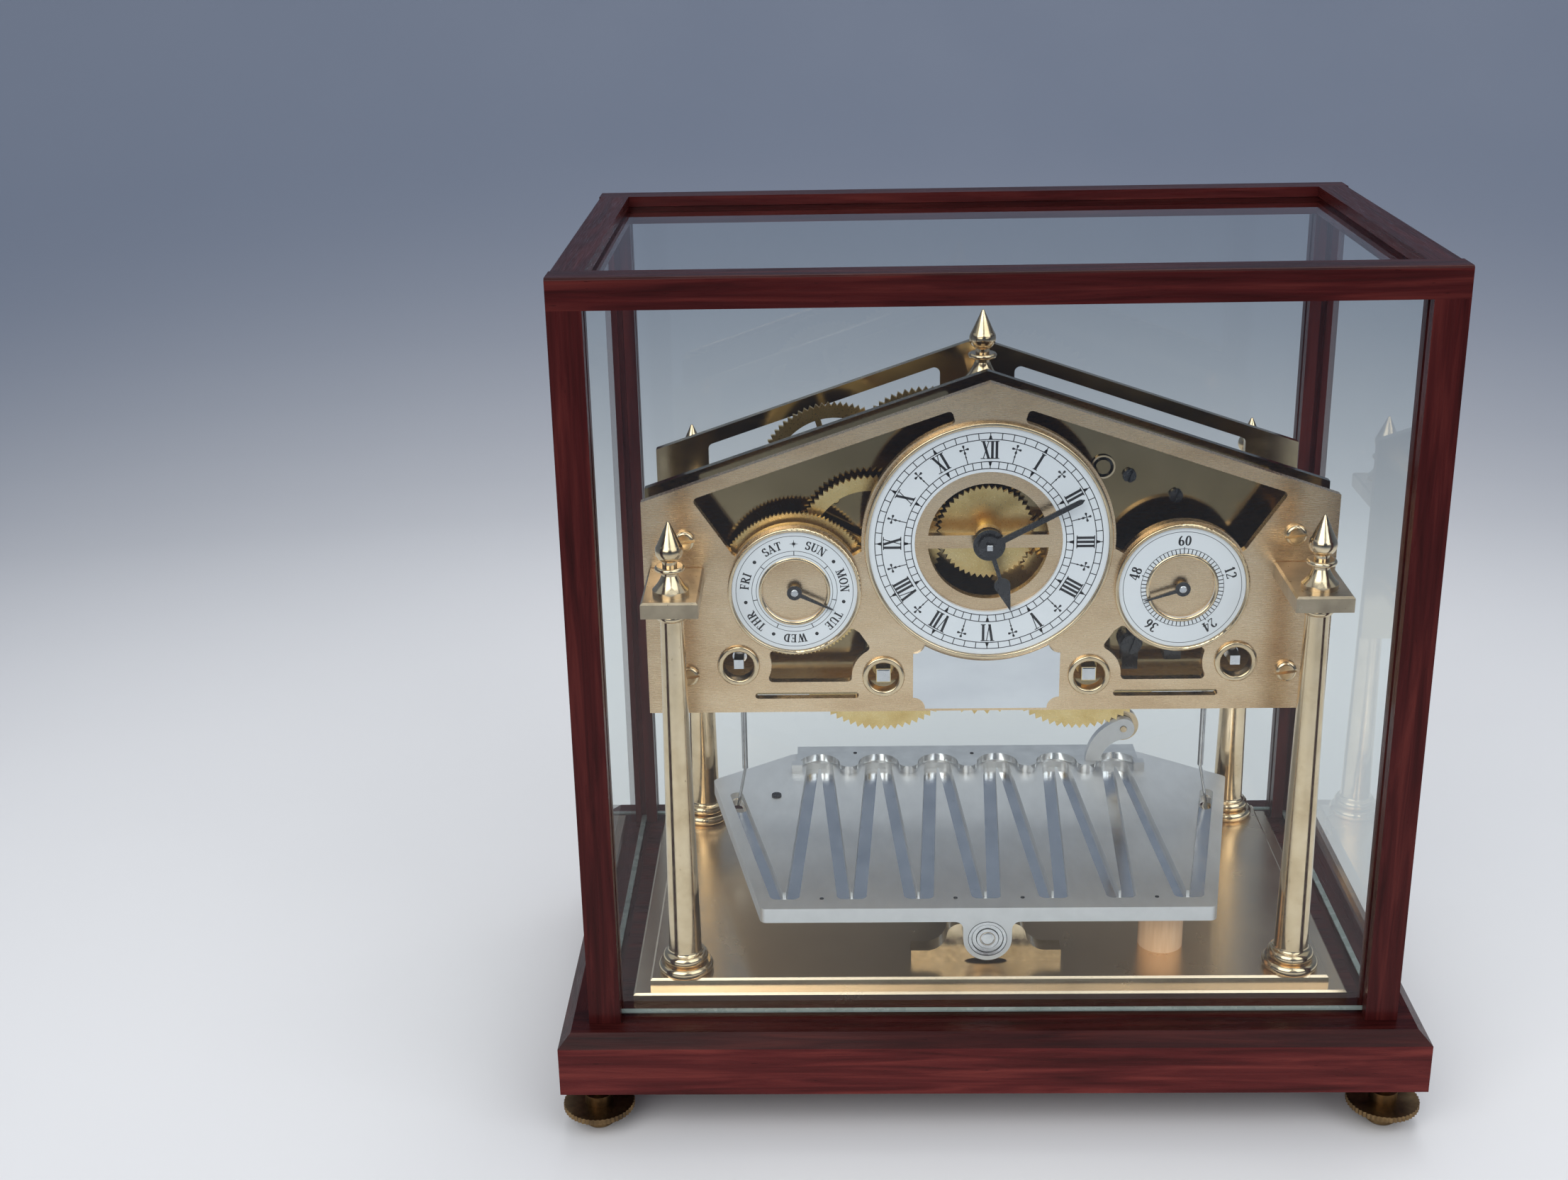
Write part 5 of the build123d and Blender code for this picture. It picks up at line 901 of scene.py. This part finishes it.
def slotted_screw(name, place, level, size):
    """Screw head on a level face of the tray, as a round base with two lands beside its slot."""
    (x, y), (radius, height) = place, size
    seat = height / 2
    screw = Solid((x * MM, y * MM, level), "up")
    screw.prism(circle(radius), 0.0, seat)
    start = math.asin(SLOT_SHARE / 2)
    turns = [start + (math.pi - 2 * start) * n / LAND_STEPS for n in range(LAND_STEPS + 1)]
    for side in (-1, 1):
        land = [(radius * math.cos(t), side * radius * math.sin(t)) for t in turns]
        screw.prism(land[::side], seat, height, LAND_TAPER)
    screw.done(name, "tray", "black_steel")


def tray_screws():
    """Dark screws on the tray and the guard."""
    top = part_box("tray")[1][2]
    guard_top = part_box("track_guard")[1][2]
    for number, place in enumerate(TRAY_SCREW_PLACES, start=1):
        slotted_screw(f"tray_screw_{number}", place, top, TRAY_SCREW)
    slotted_screw("tray_side_screw", SIDE_SCREW_PLACE, top, SIDE_SCREW)
    for number, place in enumerate(GUARD_SCREW_PLACES, start=1):
        slotted_screw(f"guard_screw_{number}", place, guard_top, GUARD_SCREW)


def bright_end(name, place, outline, body, facing="front"):
    """Polished end of an arbor, a square or a pin, with a bevelled edge."""
    end = Solid(place, facing)
    end.prism(outline, 0.0, END_STEP)
    end.prism(scaled(outline, END_SHRINK, END_SHRINK), END_STEP, 2 * END_STEP, END_TAPER)
    end.done(name, body, "steel")


def bright_ends():
    """Ends of the winding squares, the hands' arbors and the tray's pivot pins."""
    for side in ("left", "right"):
        place = middle_of(f"great_wheel_{side}")
        bright_end(f"winding_end_{side}", place, square(WINDING_END), f"great_{side}")
    minute = (middle_of("main_dial")[0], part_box("minute_hand")[0][1], middle_of("main_dial")[2])
    bright_end("minute_arbor_end", minute, square(MINUTE_END), "centre")
    for body in ("day", "seconds"):
        dial = middle_of(f"{body}_dial")
        hub = (dial[0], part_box(f"{body}_hand")[0][1], dial[2])
        bright_end(f"{body}_arbor_end", hub, circle(SIDE_END_RADIUS), body)
    low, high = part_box("tray_brackets")
    height = middle_of("tray_bearings")[2]
    for facing, face in (("front", low[1]), ("back", high[1])):
        place = (0.0, face, height)
        bright_end(f"{facing}_pin_end", place, circle(BEARING_END_RADIUS), "clock", facing)


def side_rims():
    """Rounded rim at the inner edge of the day dial and of the seconds dial."""
    radius, half, height = SIDE_RIM
    turns = [math.pi * n / SIDE_RIM_STEPS for n in range(SIDE_RIM_STEPS + 1)]
    profile = [(radius - half * math.cos(turn), height * math.sin(turn)) for turn in turns]
    for body in ("day", "seconds"):
        piece = Solid(middle_of(f"{body}_dial"))
        piece.turned(profile, RIM_STEPS)
        piece.done(f"{body}_dial_rim", "clock", "polished_brass")


def pane_edges():
    """Pale ground edge along the foot of each upright pane."""
    half = PANE_THICK / 2 - PANE_EDGE_INSET
    for node, along_x in (("glass_front_and_back", True), ("glass_sides", False)):
        low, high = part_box(node)
        wide, deep = ((high[n] - low[n]) / 2 / MM - PANE_EDGE_INSET for n in range(2))
        piece = Solid(((low[0] + high[0]) / 2, (low[1] + high[1]) / 2, low[2]), "up")
        for side in (-1, 1):
            if along_x:
                outline = bevelled((0.0, side * (deep - half)), (wide, half), PANE_EDGE_BEVEL)
            else:
                outline = bevelled((side * (wide - half), 0.0), (half, deep), PANE_EDGE_BEVEL)
            piece.prism(outline, PANE_EDGE_INSET, PANE_EDGE_HEIGHT)
        piece.done(f"{node}_foot", "cover", "glass", "glass_edge")


def bearing_lines():
    """Black rings of painted shade at the gaps beside the races of the tray's two bearings."""
    low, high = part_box("tray_bearings")
    for facing, place in (("front", low[1]), ("back", high[1])):
        piece = Solid((0.0, place, (low[2] + high[2]) / 2), facing)
        for radius, width, level in BEARING_SHADE_RINGS:
            piece.ring(radius, width, level, level + END_STEP, BEARING_STEPS)
        piece.done(f"bearing_lines_{facing}", "tray", "black_steel")


def collar():
    """Bright rim of the collar behind the main dial, and a black ring of painted shade at the bottom of its
    bore.
    """
    dial = middle_of("main_dial")
    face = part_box("middle_plate")[0][1]
    place = (dial[0] + COLLAR_PLACE[0] * MM, face, dial[2] + COLLAR_PLACE[1] * MM)
    for name, (inner, outer), low, slot in (
        ("collar_rim", COLLAR_RIM, 0.0, "polished_brass"),
        # Painted shade: a black ring sunk at the bottom of the collar's bore
        ("collar_painted_shade", COLLAR_SHADE_RING, -COLLAR_DEPTH, "black_steel"),
    ):
        piece = Solid(place)
        piece.ring((inner + outer) / 2, outer - inner, low, low + END_STEP, COLLAR_STEPS)
        piece.done(name, "clock", slot)


def backdrop_paint():
    """Pale paint with painted shade that turns it to blue-grey away from the object."""
    made = finish(
        "backdrop_paint",
        stops=tones((0.73, 0.735, 0.75), (0.75, 0.755, 0.77)),
        stretch=even(2),
        roughness=(0.6, 0.7),
    )
    tree = made.node_tree
    base = tree.nodes["Principled BSDF"].inputs["Base Color"]
    pale = base.links[0].from_socket
    # Painted shade: blue-grey grows with distance from the object, standing in for light falling off
    place = add_node(tree, "ShaderNodeTexCoord")
    shift = add_node(tree, "ShaderNodeMapping", {"Location": PAINTED_SHADE_SHIFT, "Scale": PAINTED_SHADE_STRETCH})
    reach = add_node(tree, "ShaderNodeVectorMath", operation="LENGTH")
    tree.links.new(place.outputs["Object"], shift.inputs["Vector"])
    tree.links.new(shift.outputs["Vector"], reach.inputs[0])
    far = map_range(tree, reach.outputs["Value"], PAINTED_SHADE_FADE, interpolation_type="SMOOTHSTEP")
    tree.links.new(blend(tree, far, pale, PAINTED_SHADE_FAR), base)
    return made


def backdrop():
    """Pale floor that sweeps up to a round wall, nearer and lower behind the object than in front."""
    profile = [(FLOOR_START, 0.0)]
    for n in range(BEND_STEPS + 1):
        turn = math.pi / 2 * n / BEND_STEPS
        profile.append((FLOOR_RADIUS + BEND_RADIUS * math.sin(turn), BEND_RADIUS * (1 - math.cos(turn))))
    corners = [(0.0, FLOOR_MIDDLE, 0.0)]
    for reach, height in profile:
        corners.extend((u, FLOOR_MIDDLE + v, height) for u, v in circle(reach, WALL_SIDES))
    wall = FLOOR_RADIUS + BEND_RADIUS
    for u, v in circle(wall, WALL_SIDES):
        corners.append((u, FLOOR_MIDDLE + v, WALL_TOP + WALL_RISE * (1 - v / wall) / 2))
    faces = [(0, 1 + n, 1 + (n + 1) % WALL_SIDES) for n in range(WALL_SIDES)]
    for level in range(len(profile)):
        lower, upper = 1 + level * WALL_SIDES, 1 + (level + 1) * WALL_SIDES
        for n in range(WALL_SIDES):
            after = (n + 1) % WALL_SIDES
            faces.append((lower + n, upper + n, upper + after, lower + after))
    data = bpy.data.meshes.new("backdrop")
    data.from_pydata(corners, [], faces)
    for face in data.polygons:
        face.use_smooth = True
    data.materials.append(backdrop_paint())
    made = add_object("backdrop", data)


def studio():
    """Even pale surroundings, and lamps that face the object."""
    world = bpy.data.worlds.new("studio")
    world.use_nodes = True
    bpy.context.scene.world = world
    surround = world.node_tree.nodes["Background"]
    surround.inputs["Color"].default_value = WORLD_COLOUR
    surround.inputs["Strength"].default_value = WORLD_STRENGTH
    for name, (place, side, watts, colour) in LAMPS.items():
        data = bpy.data.lights.new(name, "AREA")
        data.size = side
        data.energy = watts
        data.color = colour
        made = add_object(name, data)
        made.location = place
        ahead = Vector(LAMP_TARGET) - Vector(place)
        made.rotation_euler = ahead.to_track_quat("-Z", "Y").to_euler()


def photo_camera():
    """Camera at the place and angle of the photograph."""
    yaw, pitch, roll = (math.radians(turn) for turn in (CAMERA_YAW, CAMERA_PITCH, CAMERA_ROLL))
    ahead = Vector((math.sin(yaw) * math.cos(pitch), math.cos(yaw) * math.cos(pitch), -math.sin(pitch)))
    level = Vector((math.cos(yaw), -math.sin(yaw), 0.0))
    rise = level.cross(ahead)
    right = math.cos(roll) * level + math.sin(roll) * rise
    up = math.cos(roll) * rise - math.sin(roll) * level
    data = bpy.data.cameras.new("photo_camera")
    data.sensor_width = SENSOR_WIDTH
    data.sensor_fit = "HORIZONTAL"
    data.lens = SENSOR_WIDTH * FOCAL_PIXELS / PHOTO_WIDTH
    data.shift_x = (PHOTO_WIDTH / 2 - PRINCIPAL_X) / PHOTO_WIDTH
    data.clip_start = CAMERA_NEAR
    made = add_object("photo_camera", data)
    made.matrix_world = Matrix.Translation(CAMERA_PLACE) @ Matrix((right, up, -ahead)).transposed().to_4x4()
    bpy.context.scene.camera = made


print_main_dial()
print_day_dial()
print_seconds_dial()
tray_screws()
bright_ends()
side_rims()
pane_edges()
bearing_lines()
collar()
backdrop()
studio()
photo_camera()
bpy.context.scene.view_settings.view_transform = "Standard"
